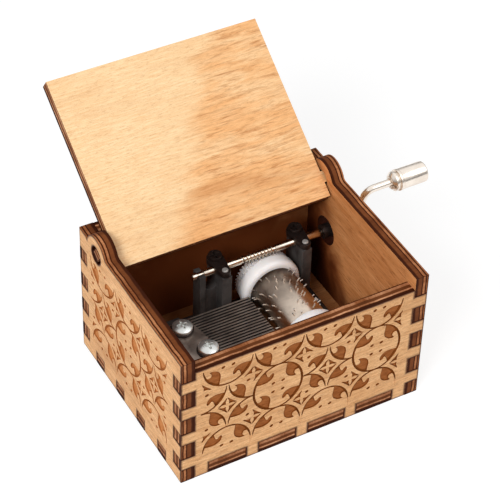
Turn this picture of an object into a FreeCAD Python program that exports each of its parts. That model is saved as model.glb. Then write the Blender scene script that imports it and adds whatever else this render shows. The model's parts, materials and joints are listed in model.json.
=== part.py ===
"""Hand-cranked music box: a finger-jointed plywood case with a hinged lid and an
eighteen-note pinned-cylinder movement, as separate solids.

Frame: millimetres. The origin is the centre of the case's underside, +X points to
the crank's side, +Y to the hinge and +Z up. The lid stands open, leaning on the
back panel's top edge.
"""
import FreeCAD
import Part
import math
import os
import random

V = FreeCAD.Vector
X_AXIS = V(1, 0, 0)
Y_AXIS = V(0, 1, 0)
Z_AXIS = V(0, 0, 1)
FULL_TURN = 360.0
HALF = 0.5
MITRE = math.radians(45.0)  # middle of a right-angled bend or round

# --- plywood case -----------------------------------------------------------
CASE_WIDTH = 64.0
CASE_DEPTH = 51.5
CASE_HEIGHT = 38.0
PLY = 3.5

CORNER_TAB_LOW = 4.0        # underside of the lowest tab over the case's underside
CORNER_TAB_HEIGHT = 3.6
CORNER_TAB_PITCH = 8.2
CORNER_TAB_COUNT = 4        # tabs on each upright edge of the front and back panels
LONG_TAB_WIDTH = 9.9        # bottom panel's tabs through the front and back panels
LONG_TAB_PITCH = 13.2
LONG_TAB_COUNT = 4
SHORT_TAB_WIDTH = 3.85      # bottom panel's tabs through the side panels
SHORT_TAB_PITCH = 10.8
SHORT_TAB_COUNT = 4

# --- lid and hinge ----------------------------------------------------------
HINGE_FROM_BACK = 9.0       # pin's axis to the case's rear face
EAR_RADIUS = 5.0            # round rise of each side panel about the pin
EAR_FILLET = 1.2
EAR_NOTCH_RISE = 1.2        # height of the notch behind the ear, over the pin's axis
EAR_NOTCH_WIDTH = 0.6
LID_SIDE_GAP = 0.55         # lid's edge to each side panel
LID_TAIL = 5.0              # lid's edge behind the pin
LID_OPEN = 145.0            # degrees, from shut to leaning on the back panel
LID_SEAT_GAP = 0.05         # shut lid over the front panel, open lid off the back panel
PIN_DEPTH = 2.8             # the pin is as thick as the lid and this deep
PIN_CLEARANCE = 0.08        # pin's corners to its round hole
PIN_END_INSET = 0.1         # pin's end to the case's outer face

# --- clearances shared by the movement --------------------------------------
RUNNING_FIT = 0.05          # radial, a shaft in its bearing
THREAD_FIT = 0.02           # radial, a fastener or a pressed piece in its hole
CRANK_HOLE_CLEARANCE = 2.1  # crank coupling to the hole in the right panel

# --- pinned cylinder --------------------------------------------------------
CYLINDER_X = 11.45
CYLINDER_OVER_FLOOR = 10.0
CYLINDER_FRONT_Y = -8.0
CYLINDER_REAR_Y = 9.1
CYLINDER_RADIUS = 6.25
CYLINDER_WALL = 0.6
PIN_RADIUS = 0.19
PIN_STAND = 0.8             # how far a music pin stands out of the cylinder
PIN_ROOT = 0.3              # how deep it is driven in
NOTE_COUNT = 18
PIN_COUNT = 5               # pins on each note's track
PIN_SCATTER = 0.8           # part of its own stretch of the track in which each pin may stand
TUNE_SEED = 18              # picks the generic tune

ARBOR_RADIUS = 0.75
ARBOR_FRONT_Y = -12.9
ARBOR_REAR_Y = 17.2
PLUG_DEPTH = 3.0            # spigots of the wheel and of the end cap inside the cylinder

# --- worm and worm wheel ----------------------------------------------------
WORM_PITCH = 0.96
WHEEL_TOOTH_COUNT = 48
WHEEL_ADDENDUM = 0.2
WHEEL_TOOTH_DEPTH = 0.5
WHEEL_TIP_WIDTH = 0.24
WHEEL_ROOT_WIDTH = 0.52
WHEEL_BAND = 2.6            # width of the toothed band
WHEEL_COLLAR_RADIUS = 7.85  # smooth rim in front of the teeth
WHEEL_COLLAR_ROUND = 1.2
WHEEL_MESH = 0.35           # how deep worm and wheel reach into each other
WORM_RADIUS = 1.25
WORM_THREAD_DEPTH = 0.45
WORM_CREST_WIDTH = 0.2
WORM_BASE_WIDTH = 0.5
WORM_THREAD_SINK = 0.12     # thread's root below the core's surface
WORM_TURNS_LEFT = 6         # whole turns of thread left of the wheel's middle
WORM_TURNS = 9
WORM_START_TURN = 0.75      # part of a turn from the thread's start to the core's underside

END_CAP_RADIUS = 7.3
END_CAP_WIDTH = 2.2
END_CAP_ROUND = 0.6

# --- crank shaft ------------------------------------------------------------
SHAFT_Y = 13.55
SHAFT_RADIUS = 1.0
SHAFT_LEFT_X = -8.6
SHAFT_TIP_LENGTH = 1.3
SHAFT_TIP_RADIUS = 0.95
NECK_RADIUS = 0.65
NECK_LENGTH = 1.7
COUPLING_MID_X = 28.9       # where the shaft and the crank wire meet
COUPLING_LENGTH = 3.2
COUPLING_RADIUS = 1.8

# --- crank and knob ---------------------------------------------------------
CRANK_RADIUS = 13.6
CRANK_LEAN = 18.5           # degrees, crank arm forward of straight up
CRANK_PLANE_X = 36.6
CRANK_BEND = 2.3
WIRE_RADIUS = 0.95
WIRE_END_X = 51.1
WIRE_HEAD_RADIUS = 1.45     # peened end that keeps the knob on
WIRE_HEAD_LENGTH = 0.8
KNOB_INNER_X = 43.3
KNOB_HUB_LENGTH = 1.9
KNOB_HUB_RADIUS = 2.5
KNOB_HUB_CHAMFER = 0.8
KNOB_SLOT_WIDTH = 0.9
KNOB_SLOT_DEPTH = 0.9
KNOB_FLANGE_LENGTH = 0.7
KNOB_FLANGE_RADIUS = 2.75
KNOB_GROOVE_LENGTH = 0.5
KNOB_GROOVE_DEPTH = 0.35
KNOB_END_X = 52.9
KNOB_RADIUS = 2.65
KNOB_ROUND = 0.45
KNOB_END_WALL = 1.2
KNOB_BORE_RADIUS = 1.6
KNOB_ENDPLAY = 0.2          # plug's end to the wire's peened head

# --- comb -------------------------------------------------------------------
COMB_OVER_AXIS = 0.9        # comb's top over the cylinder's axis
COMB_HEEL_THICKNESS = 1.2
COMB_TOOTH_THICKNESS = 0.6
COMB_PITCH = 0.9
COMB_TOOTH_WIDTH = 0.62
COMB_TIP_GAP = 0.12         # tooth tips to the path of the pins
COMB_ROOT_REAR_X = -12.4    # the tooth roots run on a slant, bass teeth longer
COMB_ROOT_FRONT_X = -9.5
COMB_HEEL_REAR_X = -20.3
COMB_HEEL_FRONT_X = -17.5
WEIGHTED_TOOTH_COUNT = 7    # bass teeth with a lead weight under the tip
WEIGHT_LENGTH = 3.4
WEIGHT_STEP = 0.35          # each next weight is this much shorter
WEIGHT_WIDTH = 0.5
WEIGHT_HEIGHT = 0.9
WEIGHT_TIP_INSET = 0.3

COMB_SCREW_REAR = (-15.3, 5.6)
COMB_SCREW_FRONT = (-13.0, -3.3)
COMB_SCREW_HEAD_RADIUS = 2.5
COMB_SCREW_HEAD_HEIGHT = 1.5
COMB_SCREW_DOME = 0.7
COMB_SCREW_RADIUS = 1.1
COMB_SCREW_DEPTH = 4.0      # thread's length in the seat
COMB_WASHER_RADIUS = 2.8
COMB_WASHER_THICKNESS = 0.4
RECESS_LENGTH = 2.6
RECESS_WIDTH = 0.55
RECESS_DEPTH = 0.7

# --- bedplate casting -------------------------------------------------------
BEDPLATE_THICKNESS = 1.8
BEDPLATE_REAR_BAR_FRONT = 9.2
BEDPLATE_REAR = 17.4
BEDPLATE_FRONT_BAR_DEPTH = 2.6
BEDPLATE_FRONT = -13.4
BEDPLATE_RIGHT = 23.4
RAIL_WIDTH = 1.7
RAIL_HEIGHT = 3.5           # the right rail stands higher than the bars it joins
SEAT_TAIL = 2.4             # comb seat behind the comb
SEAT_INSET = 0.7            # comb seat short of the tooth roots

FORK_LEFT_X = -7.2          # thin fork that keeps the shaft endways
FORK_WIDTH = 1.5
FORK_FRONT = 11.9
FORK_REAR = 15.5
FORK_OVER_SHAFT = 0.5
BEARING_LEFT_X = -1.15      # middles of the two capped bearing posts
BEARING_RIGHT_X = 20.95
POST_WIDTH = 2.5
POST_FRONT = 9.4
POST_REAR = 17.4
POST_OVER_SHAFT = 0.1
WEB_FRONT = 12.3
WEB_REAR = 15.1
WEB_TOP_OVER_FLOOR = 15.4   # top of the web between fork and post, before its round
ARBOR_POST_WIDTH = 5.0
ARBOR_POST_DEPTH = 1.8
ARBOR_POST_GAP = 0.5        # endplay between the cylinder's ends and its bearing posts

CAP_THICKNESS = 1.5
CAP_REAR_RADIUS = 2.1
CAP_FRONT_RADIUS = 1.35
CAP_SCREW_Y = 15.8
CAP_PIN_Y = 10.65
CAP_SCREW_HEAD_RADIUS = 1.7
CAP_SCREW_HEAD_HEIGHT = 1.0
CAP_SCREW_RADIUS = 0.7
CAP_SCREW_DEPTH = 4.0
CAP_PIN_RADIUS = 0.75
CAP_PIN_STAND = 0.3
CAP_PIN_DEPTH = 2.0

# --- screws that hold the movement down --------------------------------------
MOUNT_SCREW_SPOTS = ((-15.6, 0.6), (21.0, 13.2), (21.6, -11.9))
MOUNT_PAD_RADIUS = 2.6
MOUNT_SCREW_RADIUS = 1.0
MOUNT_SCREW_LENGTH = 4.4
MOUNT_HEAD_RADIUS = 2.0
MOUNT_HEAD_HEIGHT = 1.1
MOUNT_HEAD_INSET = 0.15     # head's face above the case's underside

# --- worked-out places -------------------------------------------------------
HALF_WIDTH = CASE_WIDTH * HALF
HALF_DEPTH = CASE_DEPTH * HALF
INNER_HALF_WIDTH = HALF_WIDTH - PLY
INNER_HALF_DEPTH = HALF_DEPTH - PLY
FLOOR = PLY
HINGE_Y = HALF_DEPTH - HINGE_FROM_BACK
HINGE_Z = CASE_HEIGHT - PLY * HALF
PIN_HOLE_RADIUS = math.hypot(PLY, PIN_DEPTH) * HALF + PIN_CLEARANCE
CYLINDER_Z = FLOOR + CYLINDER_OVER_FLOOR
CYLINDER_LENGTH = CYLINDER_REAR_Y - CYLINDER_FRONT_Y
CYLINDER_MID_Y = (CYLINDER_REAR_Y + CYLINDER_FRONT_Y) * HALF
CYLINDER_BORE = CYLINDER_RADIUS - CYLINDER_WALL
WHEEL_TIP_RADIUS = WHEEL_TOOTH_COUNT * WORM_PITCH / (2 * math.pi) + WHEEL_ADDENDUM
SHAFT_Z = CYLINDER_Z + WHEEL_TIP_RADIUS + WORM_RADIUS - WHEEL_MESH
BAND_FRONT_Y = SHAFT_Y - WHEEL_BAND * HALF
BAND_REAR_Y = SHAFT_Y + WHEEL_BAND * HALF
WORM_START_X = CYLINDER_X - (WORM_TURNS_LEFT + WORM_START_TURN) * WORM_PITCH
WORM_LENGTH = WORM_TURNS * WORM_PITCH
WORM_CORE_RADIUS = WORM_RADIUS - WORM_THREAD_DEPTH
COMB_TOP = CYLINDER_Z + COMB_OVER_AXIS
SEAT_TOP = COMB_TOP - COMB_HEEL_THICKNESS
COMB_TIP_X = CYLINDER_X - CYLINDER_RADIUS - PIN_STAND - COMB_TIP_GAP
COMB_HALF_WIDTH = (NOTE_COUNT - 1) * COMB_PITCH * HALF + COMB_TOOTH_WIDTH * HALF
COMB_REAR_Y = CYLINDER_MID_Y + COMB_HALF_WIDTH
COMB_FRONT_Y = CYLINDER_MID_Y - COMB_HALF_WIDTH
BEDPLATE_TOP = FLOOR + BEDPLATE_THICKNESS
CAP_BASE = SHAFT_Z + POST_OVER_SHAFT
CAP_TOP = CAP_BASE + CAP_THICKNESS
END_CAP_FRONT_Y = CYLINDER_FRONT_Y - END_CAP_WIDTH


# --- helpers -----------------------------------------------------------------
def box(x0, x1, y0, y1, z0, z1):
    """A block between two corners."""
    return Part.makeBox(x1 - x0, y1 - y0, z1 - z0, V(x0, y0, z0))


def rod(start, axis, radius, length):
    """A round bar from its first face's centre along an axis."""
    return Part.makeCylinder(radius, length, start, axis)


def tube(start, axis, outer, inner, length):
    """A round bar with a bore right through."""
    return rod(start, axis, outer, length).cut(rod(start, axis, inner, length))


def join(first, *others):
    """One solid from several that touch or cross, with its split faces merged."""
    return first.fuse(list(others)).removeSplitter()


def plate(points, thickness):
    """A flat plate on a closed outline, grown along its thickness vector."""
    return Part.Face(Part.makePolygon(points + points[:1])).extrude(thickness)


def turned(profile, centre, axis):
    """A turned piece: (along, radius) points revolved about an axis through a centre."""
    across = Z_AXIS
    points = [centre + axis * along + across * radius for along, radius in profile]
    face = Part.Face(Part.makePolygon(points + points[:1]))
    return face.revolve(centre, axis, FULL_TURN)


def spread(count, pitch, middle=0.0):
    """Places of equal pitch about a middle."""
    return [middle + (index - (count - 1) * HALF) * pitch for index in range(count)]


def save(name, *solids):
    """Write a node's solids to its own STEP file."""
    shape = solids[0] if len(solids) == 1 else Part.makeCompound(list(solids))
    shape.exportStep(os.path.join("parts", name + ".step"))


# --- plywood case -------------------------------------------------------------
def corner_tab_heights():
    """(low, high) of each tab on the upright edges of the front and back panels."""
    lows = [CORNER_TAB_LOW + index * CORNER_TAB_PITCH for index in range(CORNER_TAB_COUNT)]
    return [(low, low + CORNER_TAB_HEIGHT) for low in lows]


def bottom_tabs():
    """The bottom panel's tabs, as blocks that also cut their slots in the walls."""
    tabs = []
    for x in spread(LONG_TAB_COUNT, LONG_TAB_PITCH):
        half = LONG_TAB_WIDTH * HALF
        tabs.append(box(x - half, x + half, -HALF_DEPTH, HALF_DEPTH, 0, PLY))
    for y in spread(SHORT_TAB_COUNT, SHORT_TAB_PITCH):
        half = SHORT_TAB_WIDTH * HALF
        tabs.append(box(-HALF_WIDTH, HALF_WIDTH, y - half, y + half, 0, PLY))
    return tabs


def end_panel(front_y, top):
    """The front or the back panel, with its tabs into the side panels' corners."""
    rear_y = front_y + PLY
    panel = box(-INNER_HALF_WIDTH, INNER_HALF_WIDTH, front_y, rear_y, 0, top)
    tabs = [box(-HALF_WIDTH, HALF_WIDTH, front_y, rear_y, low, high)
            for low, high in corner_tab_heights()]
    return join(panel, *tabs).cut(bottom_tabs()).removeSplitter()


def open_lid_height(y):
    """Height of the open lid's outer face over a given y."""
    lean = math.radians(FULL_TURN * HALF - LID_OPEN)
    face_y = HINGE_Y + PLY * HALF * math.sin(lean)
    face_z = HINGE_Z - PLY * HALF * math.cos(lean)
    return face_z + (y - face_y) * math.tan(lean)


def ear(x0):
    """The round rise of a side panel about the lid's pin, notched behind."""
    over = CASE_HEIGHT - HINGE_Z
    fillet_z = CASE_HEIGHT + EAR_FILLET
    reach = EAR_RADIUS + EAR_FILLET
    fillet_y = HINGE_Y - math.sqrt(reach ** 2 - (fillet_z - HINGE_Z) ** 2)
    share = EAR_RADIUS / reach
    arc_start = V(x0, HINGE_Y + (fillet_y - HINGE_Y) * share, HINGE_Z + (fillet_z - HINGE_Z) * share)
    slant = math.atan2(arc_start.z - CASE_HEIGHT, arc_start.y - fillet_y)
    fillet_mid = V(x0, fillet_y + EAR_FILLET * math.sin(slant), fillet_z - EAR_FILLET * math.cos(slant))
    crown = V(x0, HINGE_Y, HINGE_Z + EAR_RADIUS)
    notch_y = HINGE_Y + math.sqrt(EAR_RADIUS ** 2 - EAR_NOTCH_RISE ** 2)
    notch = V(x0, notch_y, HINGE_Z + EAR_NOTCH_RISE)
    foot_front = V(x0, fillet_y, CASE_HEIGHT)
    root_front = V(x0, fillet_y, HINGE_Z - over)
    root_rear = V(x0, notch_y, HINGE_Z - over)
    edges = [Part.Arc(foot_front, fillet_mid, arc_start).toShape(),
             Part.Arc(arc_start, crown, notch).toShape(),
             Part.makeLine(notch, root_rear),
             Part.makeLine(root_rear, root_front),
             Part.makeLine(root_front, foot_front)]
    return Part.Face(Part.Wire(edges)).extrude(X_AXIS * PLY)


def ear_notch(x0):
    """The wedge that parts the ear from the panel's rear corner."""
    notch_y = HINGE_Y + math.sqrt(EAR_RADIUS ** 2 - EAR_NOTCH_RISE ** 2)
    low = HINGE_Z + EAR_NOTCH_RISE
    crest_y = HINGE_Y + math.sqrt(EAR_RADIUS ** 2 - (CASE_HEIGHT - HINGE_Z) ** 2)
    points = [V(x0, notch_y, low), V(x0, notch_y + EAR_NOTCH_WIDTH, CASE_HEIGHT),
              V(x0, notch_y, CASE_HEIGHT + PLY), V(x0, crest_y, CASE_HEIGHT)]
    return plate(points, X_AXIS * PLY)


def side_panel(x0):
    """A side panel with its ear, slots and the hole for the lid's pin."""
    wall = box(x0, x0 + PLY, -HALF_DEPTH, HALF_DEPTH, 0, CASE_HEIGHT)
    wall = wall.cut(ear_notch(x0))
    wall = join(wall, ear(x0))
    slots = bottom_tabs()
    for low, high in corner_tab_heights():
        slots.append(box(x0, x0 + PLY, -HALF_DEPTH, -INNER_HALF_DEPTH, low, high))
        slots.append(box(x0, x0 + PLY, INNER_HALF_DEPTH, HALF_DEPTH, low, high))
    pin_hole = rod(V(x0, HINGE_Y, HINGE_Z), X_AXIS, PIN_HOLE_RADIUS, PLY)
    return wall.cut(slots + [pin_hole]).removeSplitter()


def right_panel():
    """The side panel that the crank comes out through."""
    radius = COUPLING_RADIUS + CRANK_HOLE_CLEARANCE
    hole = rod(V(INNER_HALF_WIDTH, SHAFT_Y, SHAFT_Z), X_AXIS, radius, PLY)
    return side_panel(INNER_HALF_WIDTH).cut(hole)


def bottom_panel():
    """The bottom panel with its tabs and the countersunk screw holes."""
    inner = box(-INNER_HALF_WIDTH, INNER_HALF_WIDTH, -INNER_HALF_DEPTH, INNER_HALF_DEPTH, 0, PLY)
    panel = join(inner, *bottom_tabs())
    return panel.cut(mount_holes())


def lid():
    """The lid with a square pin at each end, turned open about the pins."""
    half = INNER_HALF_WIDTH - LID_SIDE_GAP
    seat = CASE_HEIGHT - PLY
    board = box(-half, half, -HALF_DEPTH, HINGE_Y + LID_TAIL, seat, CASE_HEIGHT)
    reach = HALF_WIDTH - PIN_END_INSET
    pins = box(-reach, reach, HINGE_Y - PIN_DEPTH * HALF, HINGE_Y + PIN_DEPTH * HALF, seat, CASE_HEIGHT)
    return join(board, pins).rotate(V(0, HINGE_Y, HINGE_Z), X_AXIS, -LID_OPEN)


def mount_screw(x, y, fit=0.0):
    """A countersunk wood screw from below, or with a fit the hole for it."""
    head = MOUNT_HEAD_RADIUS + fit
    shank = MOUNT_SCREW_RADIUS + fit
    shank_start = MOUNT_HEAD_INSET + MOUNT_HEAD_HEIGHT
    tip = shank_start + MOUNT_SCREW_LENGTH + fit
    profile = [(MOUNT_HEAD_INSET, 0), (MOUNT_HEAD_INSET, head), (shank_start, shank), (tip, shank), (tip, 0)]
    face = Part.Face(Part.makePolygon([V(x + radius, y, z) for z, radius in profile + profile[:1]]))
    return face.revolve(V(x, y, 0), Z_AXIS, FULL_TURN)


def mount_holes():
    """What the screws from below take out of the bottom panel and of the bedplate."""
    holes = []
    for x, y in MOUNT_SCREW_SPOTS:
        holes.append(mount_screw(x, y, THREAD_FIT))
        holes.append(rod(V(x, y, 0), Z_AXIS, MOUNT_HEAD_RADIUS + THREAD_FIT, MOUNT_HEAD_INSET))
    return holes


# --- bedplate casting -----------------------------------------------------------
def heel_x(y, rear_x, front_x):
    """x of the comb's slanted line between its rear and its front end."""
    share = (y - COMB_FRONT_Y) / (COMB_REAR_Y - COMB_FRONT_Y)
    return front_x + (rear_x - front_x) * share


def slanted_block(left, right, front_y, rear_y, z0, z1):
    """A block between two slanted lines, each given as its rear and front x."""
    points = [V(heel_x(front_y, *left), front_y, z0), V(heel_x(front_y, *right), front_y, z0),
              V(heel_x(rear_y, *right), rear_y, z0), V(heel_x(rear_y, *left), rear_y, z0)]
    return plate(points, Z_AXIS * (z1 - z0))


def comb_seat():
    """The raised seat under the comb's heel."""
    left = (COMB_HEEL_REAR_X, COMB_HEEL_FRONT_X)
    right = (COMB_ROOT_REAR_X - SEAT_INSET, COMB_ROOT_FRONT_X - SEAT_INSET)
    return slanted_block(left, right, COMB_FRONT_Y, COMB_REAR_Y + SEAT_TAIL, FLOOR, SEAT_TOP)


def arbor_post(front_y):
    """A bearing post with a round top for the cylinder's arbor."""
    half = ARBOR_POST_WIDTH * HALF
    rear_y = front_y + ARBOR_POST_DEPTH
    stem = box(CYLINDER_X - half, CYLINDER_X + half, front_y, rear_y, FLOOR, CYLINDER_Z)
    crown = rod(V(CYLINDER_X, front_y, CYLINDER_Z), Y_AXIS, half, ARBOR_POST_DEPTH)
    return join(stem, crown)


def fork_and_web():
    """The thin fork round the shaft's neck and the web that ties it to the left post."""
    right = FORK_LEFT_X + FORK_WIDTH
    fork = box(FORK_LEFT_X, right, FORK_FRONT, FORK_REAR, FLOOR, SHAFT_Z + FORK_OVER_SHAFT)
    post_left = BEARING_LEFT_X - POST_WIDTH * HALF
    web_top = FLOOR + WEB_TOP_OVER_FLOOR
    web = box(right, post_left, WEB_FRONT, WEB_REAR, FLOOR, web_top)
    scoop_radius = (post_left - right) * HALF
    scoop = rod(V(right + scoop_radius, WEB_FRONT, web_top), Y_AXIS, scoop_radius, WEB_REAR - WEB_FRONT)
    slot_half = NECK_RADIUS + RUNNING_FIT
    slot = box(FORK_LEFT_X, right, SHAFT_Y - slot_half, SHAFT_Y + slot_half, SHAFT_Z, CAP_TOP)
    neck_bore = rod(V(FORK_LEFT_X, SHAFT_Y, SHAFT_Z), X_AXIS, slot_half, FORK_WIDTH)
    return join(fork, web.cut(scoop)).cut([slot, neck_bore])


def bedplate():
    """The casting: comb seat, bars, rail, bearing posts and screw pads in one piece."""
    front_bar_left = heel_x(COMB_FRONT_Y, COMB_HEEL_REAR_X, COMB_HEEL_FRONT_X)
    front_bar_rear = BEDPLATE_FRONT + BEDPLATE_FRONT_BAR_DEPTH
    casting = [
        comb_seat(),
        box(COMB_HEEL_REAR_X, BEDPLATE_RIGHT, BEDPLATE_REAR_BAR_FRONT, BEDPLATE_REAR, FLOOR, BEDPLATE_TOP),
        box(front_bar_left, BEDPLATE_RIGHT, BEDPLATE_FRONT, front_bar_rear, FLOOR, BEDPLATE_TOP),
        box(front_bar_left, heel_x(COMB_FRONT_Y, COMB_ROOT_REAR_X, COMB_ROOT_FRONT_X) - SEAT_INSET,
            BEDPLATE_FRONT, COMB_FRONT_Y, FLOOR, BEDPLATE_TOP),
        box(BEDPLATE_RIGHT - RAIL_WIDTH, BEDPLATE_RIGHT, BEDPLATE_FRONT, BEDPLATE_REAR,
            FLOOR, FLOOR + RAIL_HEIGHT),
        arbor_post(END_CAP_FRONT_Y - ARBOR_POST_GAP - ARBOR_POST_DEPTH),
        arbor_post(BAND_REAR_Y + ARBOR_POST_GAP),
        fork_and_web(),
    ]
    for middle in (BEARING_LEFT_X, BEARING_RIGHT_X):
        half = POST_WIDTH * HALF
        casting.append(box(middle - half, middle + half, POST_FRONT, POST_REAR, FLOOR, CAP_BASE))
    for x, y in MOUNT_SCREW_SPOTS:
        casting.append(rod(V(x, y, FLOOR), Z_AXIS, MOUNT_PAD_RADIUS, BEDPLATE_THICKNESS))
    holes = [shaft_bore(), rod(V(CYLINDER_X, BEDPLATE_FRONT, CYLINDER_Z), Y_AXIS,
                               ARBOR_RADIUS + RUNNING_FIT, BEDPLATE_REAR - BEDPLATE_FRONT)]
    for x, y in (COMB_SCREW_REAR, COMB_SCREW_FRONT):
        bottom = SEAT_TOP - COMB_SCREW_DEPTH - THREAD_FIT
        holes.append(rod(V(x, y, bottom), Z_AXIS, COMB_SCREW_RADIUS + THREAD_FIT, SEAT_TOP - bottom))
    for middle in (BEARING_LEFT_X, BEARING_RIGHT_X):
        holes += cap_holes(middle)
    holes += mount_holes()
    return join(casting[0], *casting[1:]).cut(holes).removeSplitter()


# --- bearing caps -----------------------------------------------------------------
def shaft_bore():
    """The running bore for the crank shaft, right of the fork."""
    start = V(FORK_LEFT_X + FORK_WIDTH, SHAFT_Y, SHAFT_Z)
    return rod(start, X_AXIS, SHAFT_RADIUS + RUNNING_FIT, BEDPLATE_RIGHT - start.x)


def cap_holes(middle):
    """The screw and pin holes of a bearing cap and its post."""
    screw_bottom = CAP_BASE - CAP_SCREW_DEPTH - THREAD_FIT
    pin_bottom = CAP_BASE - CAP_PIN_DEPTH - THREAD_FIT
    return [rod(V(middle, CAP_SCREW_Y, screw_bottom), Z_AXIS, CAP_SCREW_RADIUS + THREAD_FIT,
                CAP_TOP - screw_bottom),
            rod(V(middle, CAP_PIN_Y, pin_bottom), Z_AXIS, CAP_PIN_RADIUS + THREAD_FIT,
                CAP_TOP - pin_bottom)]


def bearing_cap(middle):
    """The cap that clamps over the shaft: round about its screw, narrower at its pin."""
    rear = rod(V(middle, CAP_SCREW_Y, CAP_BASE), Z_AXIS, CAP_REAR_RADIUS, CAP_THICKNESS)
    front = rod(V(middle, CAP_PIN_Y, CAP_BASE), Z_AXIS, CAP_FRONT_RADIUS, CAP_THICKNESS)
    turn = math.asin((CAP_REAR_RADIUS - CAP_FRONT_RADIUS) / (CAP_SCREW_Y - CAP_PIN_Y))
    rear_x = CAP_REAR_RADIUS * math.cos(turn)
    rear_y = CAP_SCREW_Y - CAP_REAR_RADIUS * math.sin(turn)
    front_x = CAP_FRONT_RADIUS * math.cos(turn)
    front_y = CAP_PIN_Y - CAP_FRONT_RADIUS * math.sin(turn)
    waist = plate([V(middle - rear_x, rear_y, CAP_BASE), V(middle - front_x, front_y, CAP_BASE),
                   V(middle + front_x, front_y, CAP_BASE), V(middle + rear_x, rear_y, CAP_BASE)],
                  Z_AXIS * CAP_THICKNESS)
    return join(rear, front, waist).cut([shaft_bore()] + cap_holes(middle))


def cap_screw(middle):
    """The screw behind the shaft, with a slotted round head."""
    head = rod(V(middle, CAP_SCREW_Y, CAP_TOP), Z_AXIS, CAP_SCREW_HEAD_RADIUS, CAP_SCREW_HEAD_HEIGHT)
    bottom = CAP_BASE - CAP_SCREW_DEPTH
    shank = rod(V(middle, CAP_SCREW_Y, bottom), Z_AXIS, CAP_SCREW_RADIUS, CAP_TOP - bottom)
    return join(head, shank).cut(cross_recess(V(middle, CAP_SCREW_Y, CAP_TOP + CAP_SCREW_HEAD_HEIGHT)))


def cap_pin(middle):
    """The bright dowel in front of the shaft."""
    bottom = CAP_BASE - CAP_PIN_DEPTH
    return rod(V(middle, CAP_PIN_Y, bottom), Z_AXIS, CAP_PIN_RADIUS, CAP_TOP + CAP_PIN_STAND - bottom)


# --- comb ---------------------------------------------------------------------------
def comb():
    """The steel comb: a slanted heel and eighteen teeth up to the cylinder's pins."""
    left = (COMB_HEEL_REAR_X, COMB_HEEL_FRONT_X)
    root = (COMB_ROOT_REAR_X, COMB_ROOT_FRONT_X)
    blank = slanted_block(left, root, COMB_FRONT_Y, COMB_REAR_Y, SEAT_TOP, COMB_TOP)
    half = COMB_TOOTH_WIDTH * HALF
    teeth = []
    for y in spread(NOTE_COUNT, COMB_PITCH, CYLINDER_MID_Y):
        start = heel_x(y, *root) - COMB_TOOTH_WIDTH
        teeth.append(box(start, COMB_TIP_X, y - half, y + half,
                         COMB_TOP - COMB_TOOTH_THICKNESS, COMB_TOP))
    holes = [rod(V(x, y, SEAT_TOP), Z_AXIS, COMB_SCREW_RADIUS + THREAD_FIT, COMB_HEEL_THICKNESS)
             for x, y in (COMB_SCREW_REAR, COMB_SCREW_FRONT)]
    return join(blank, *teeth).cut(holes).removeSplitter()


def comb_weights():
    """The lead weights under the tips of the bass teeth, longest at the rear."""
    top = COMB_TOP - COMB_TOOTH_THICKNESS
    end = COMB_TIP_X - WEIGHT_TIP_INSET
    half = WEIGHT_WIDTH * HALF
    rear_first = spread(NOTE_COUNT, COMB_PITCH, CYLINDER_MID_Y)[::-1][:WEIGHTED_TOOTH_COUNT]
    return [box(end - WEIGHT_LENGTH + index * WEIGHT_STEP, end, y - half, y + half, top - WEIGHT_HEIGHT, top)
            for index, y in enumerate(rear_first)]


def cross_recess(top):
    """Two crossed slots for a screwdriver, as blocks to cut from a screw's head."""
    long = RECESS_LENGTH * HALF
    thin = RECESS_WIDTH * HALF
    low = top.z - RECESS_DEPTH
    return [box(top.x - long, top.x + long, top.y - thin, top.y + thin, low, top.z),
            box(top.x - thin, top.x + thin, top.y - long, top.y + long, low, top.z)]


def comb_screw(x, y):
    """A pan-head screw with a domed head and a cross recess."""
    head_base = COMB_TOP + COMB_WASHER_THICKNESS
    head_top = head_base + COMB_SCREW_HEAD_HEIGHT
    rim_z = head_top - COMB_SCREW_DOME
    chord = COMB_SCREW_HEAD_RADIUS
    ball = (chord ** 2 + COMB_SCREW_DOME ** 2) / (2 * COMB_SCREW_DOME)
    head = rod(V(x, y, head_base), Z_AXIS, COMB_SCREW_HEAD_RADIUS, rim_z - head_base)
    dome = Part.makeSphere(ball, V(x, y, head_top - ball)).common(
        rod(V(x, y, rim_z), Z_AXIS, COMB_SCREW_HEAD_RADIUS, COMB_SCREW_DOME))
    bottom = SEAT_TOP - COMB_SCREW_DEPTH
    shank = rod(V(x, y, bottom), Z_AXIS, COMB_SCREW_RADIUS, head_base - bottom)
    return join(head, dome, shank).cut(cross_recess(V(x, y, head_top)))


def comb_washer(x, y):
    """The washer between screw and comb."""
    return tube(V(x, y, COMB_TOP), Z_AXIS, COMB_WASHER_RADIUS, COMB_SCREW_RADIUS + THREAD_FIT,
                COMB_WASHER_THICKNESS)


# --- cylinder, wheel and end cap -------------------------------------------------------
def cylinder_point(y):
    """The point of the cylinder's axis at a given y."""
    return V(CYLINDER_X, y, CYLINDER_Z)


def cylinder_barrel():
    """The thin metal tube that carries the pins."""
    return tube(cylinder_point(CYLINDER_FRONT_Y), Y_AXIS, CYLINDER_RADIUS, CYLINDER_BORE, CYLINDER_LENGTH)


def music_pins():
    """The pins: each track has its own start and equal stretches, with one pin in each."""
    pins = []
    tune = random.Random(TUNE_SEED)
    for y in spread(NOTE_COUNT, COMB_PITCH, CYLINDER_MID_Y):
        track_start = tune.random()
        for index in range(PIN_COUNT):
            share = track_start + (index + PIN_SCATTER * tune.random()) / PIN_COUNT
            angle = share * 2 * math.pi
            out = V(math.cos(angle), 0, math.sin(angle))
            start = cylinder_point(y) + out * (CYLINDER_RADIUS - PIN_ROOT)
            pins.append(rod(start, out, PIN_RADIUS, PIN_ROOT + PIN_STAND))
    return pins


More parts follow.
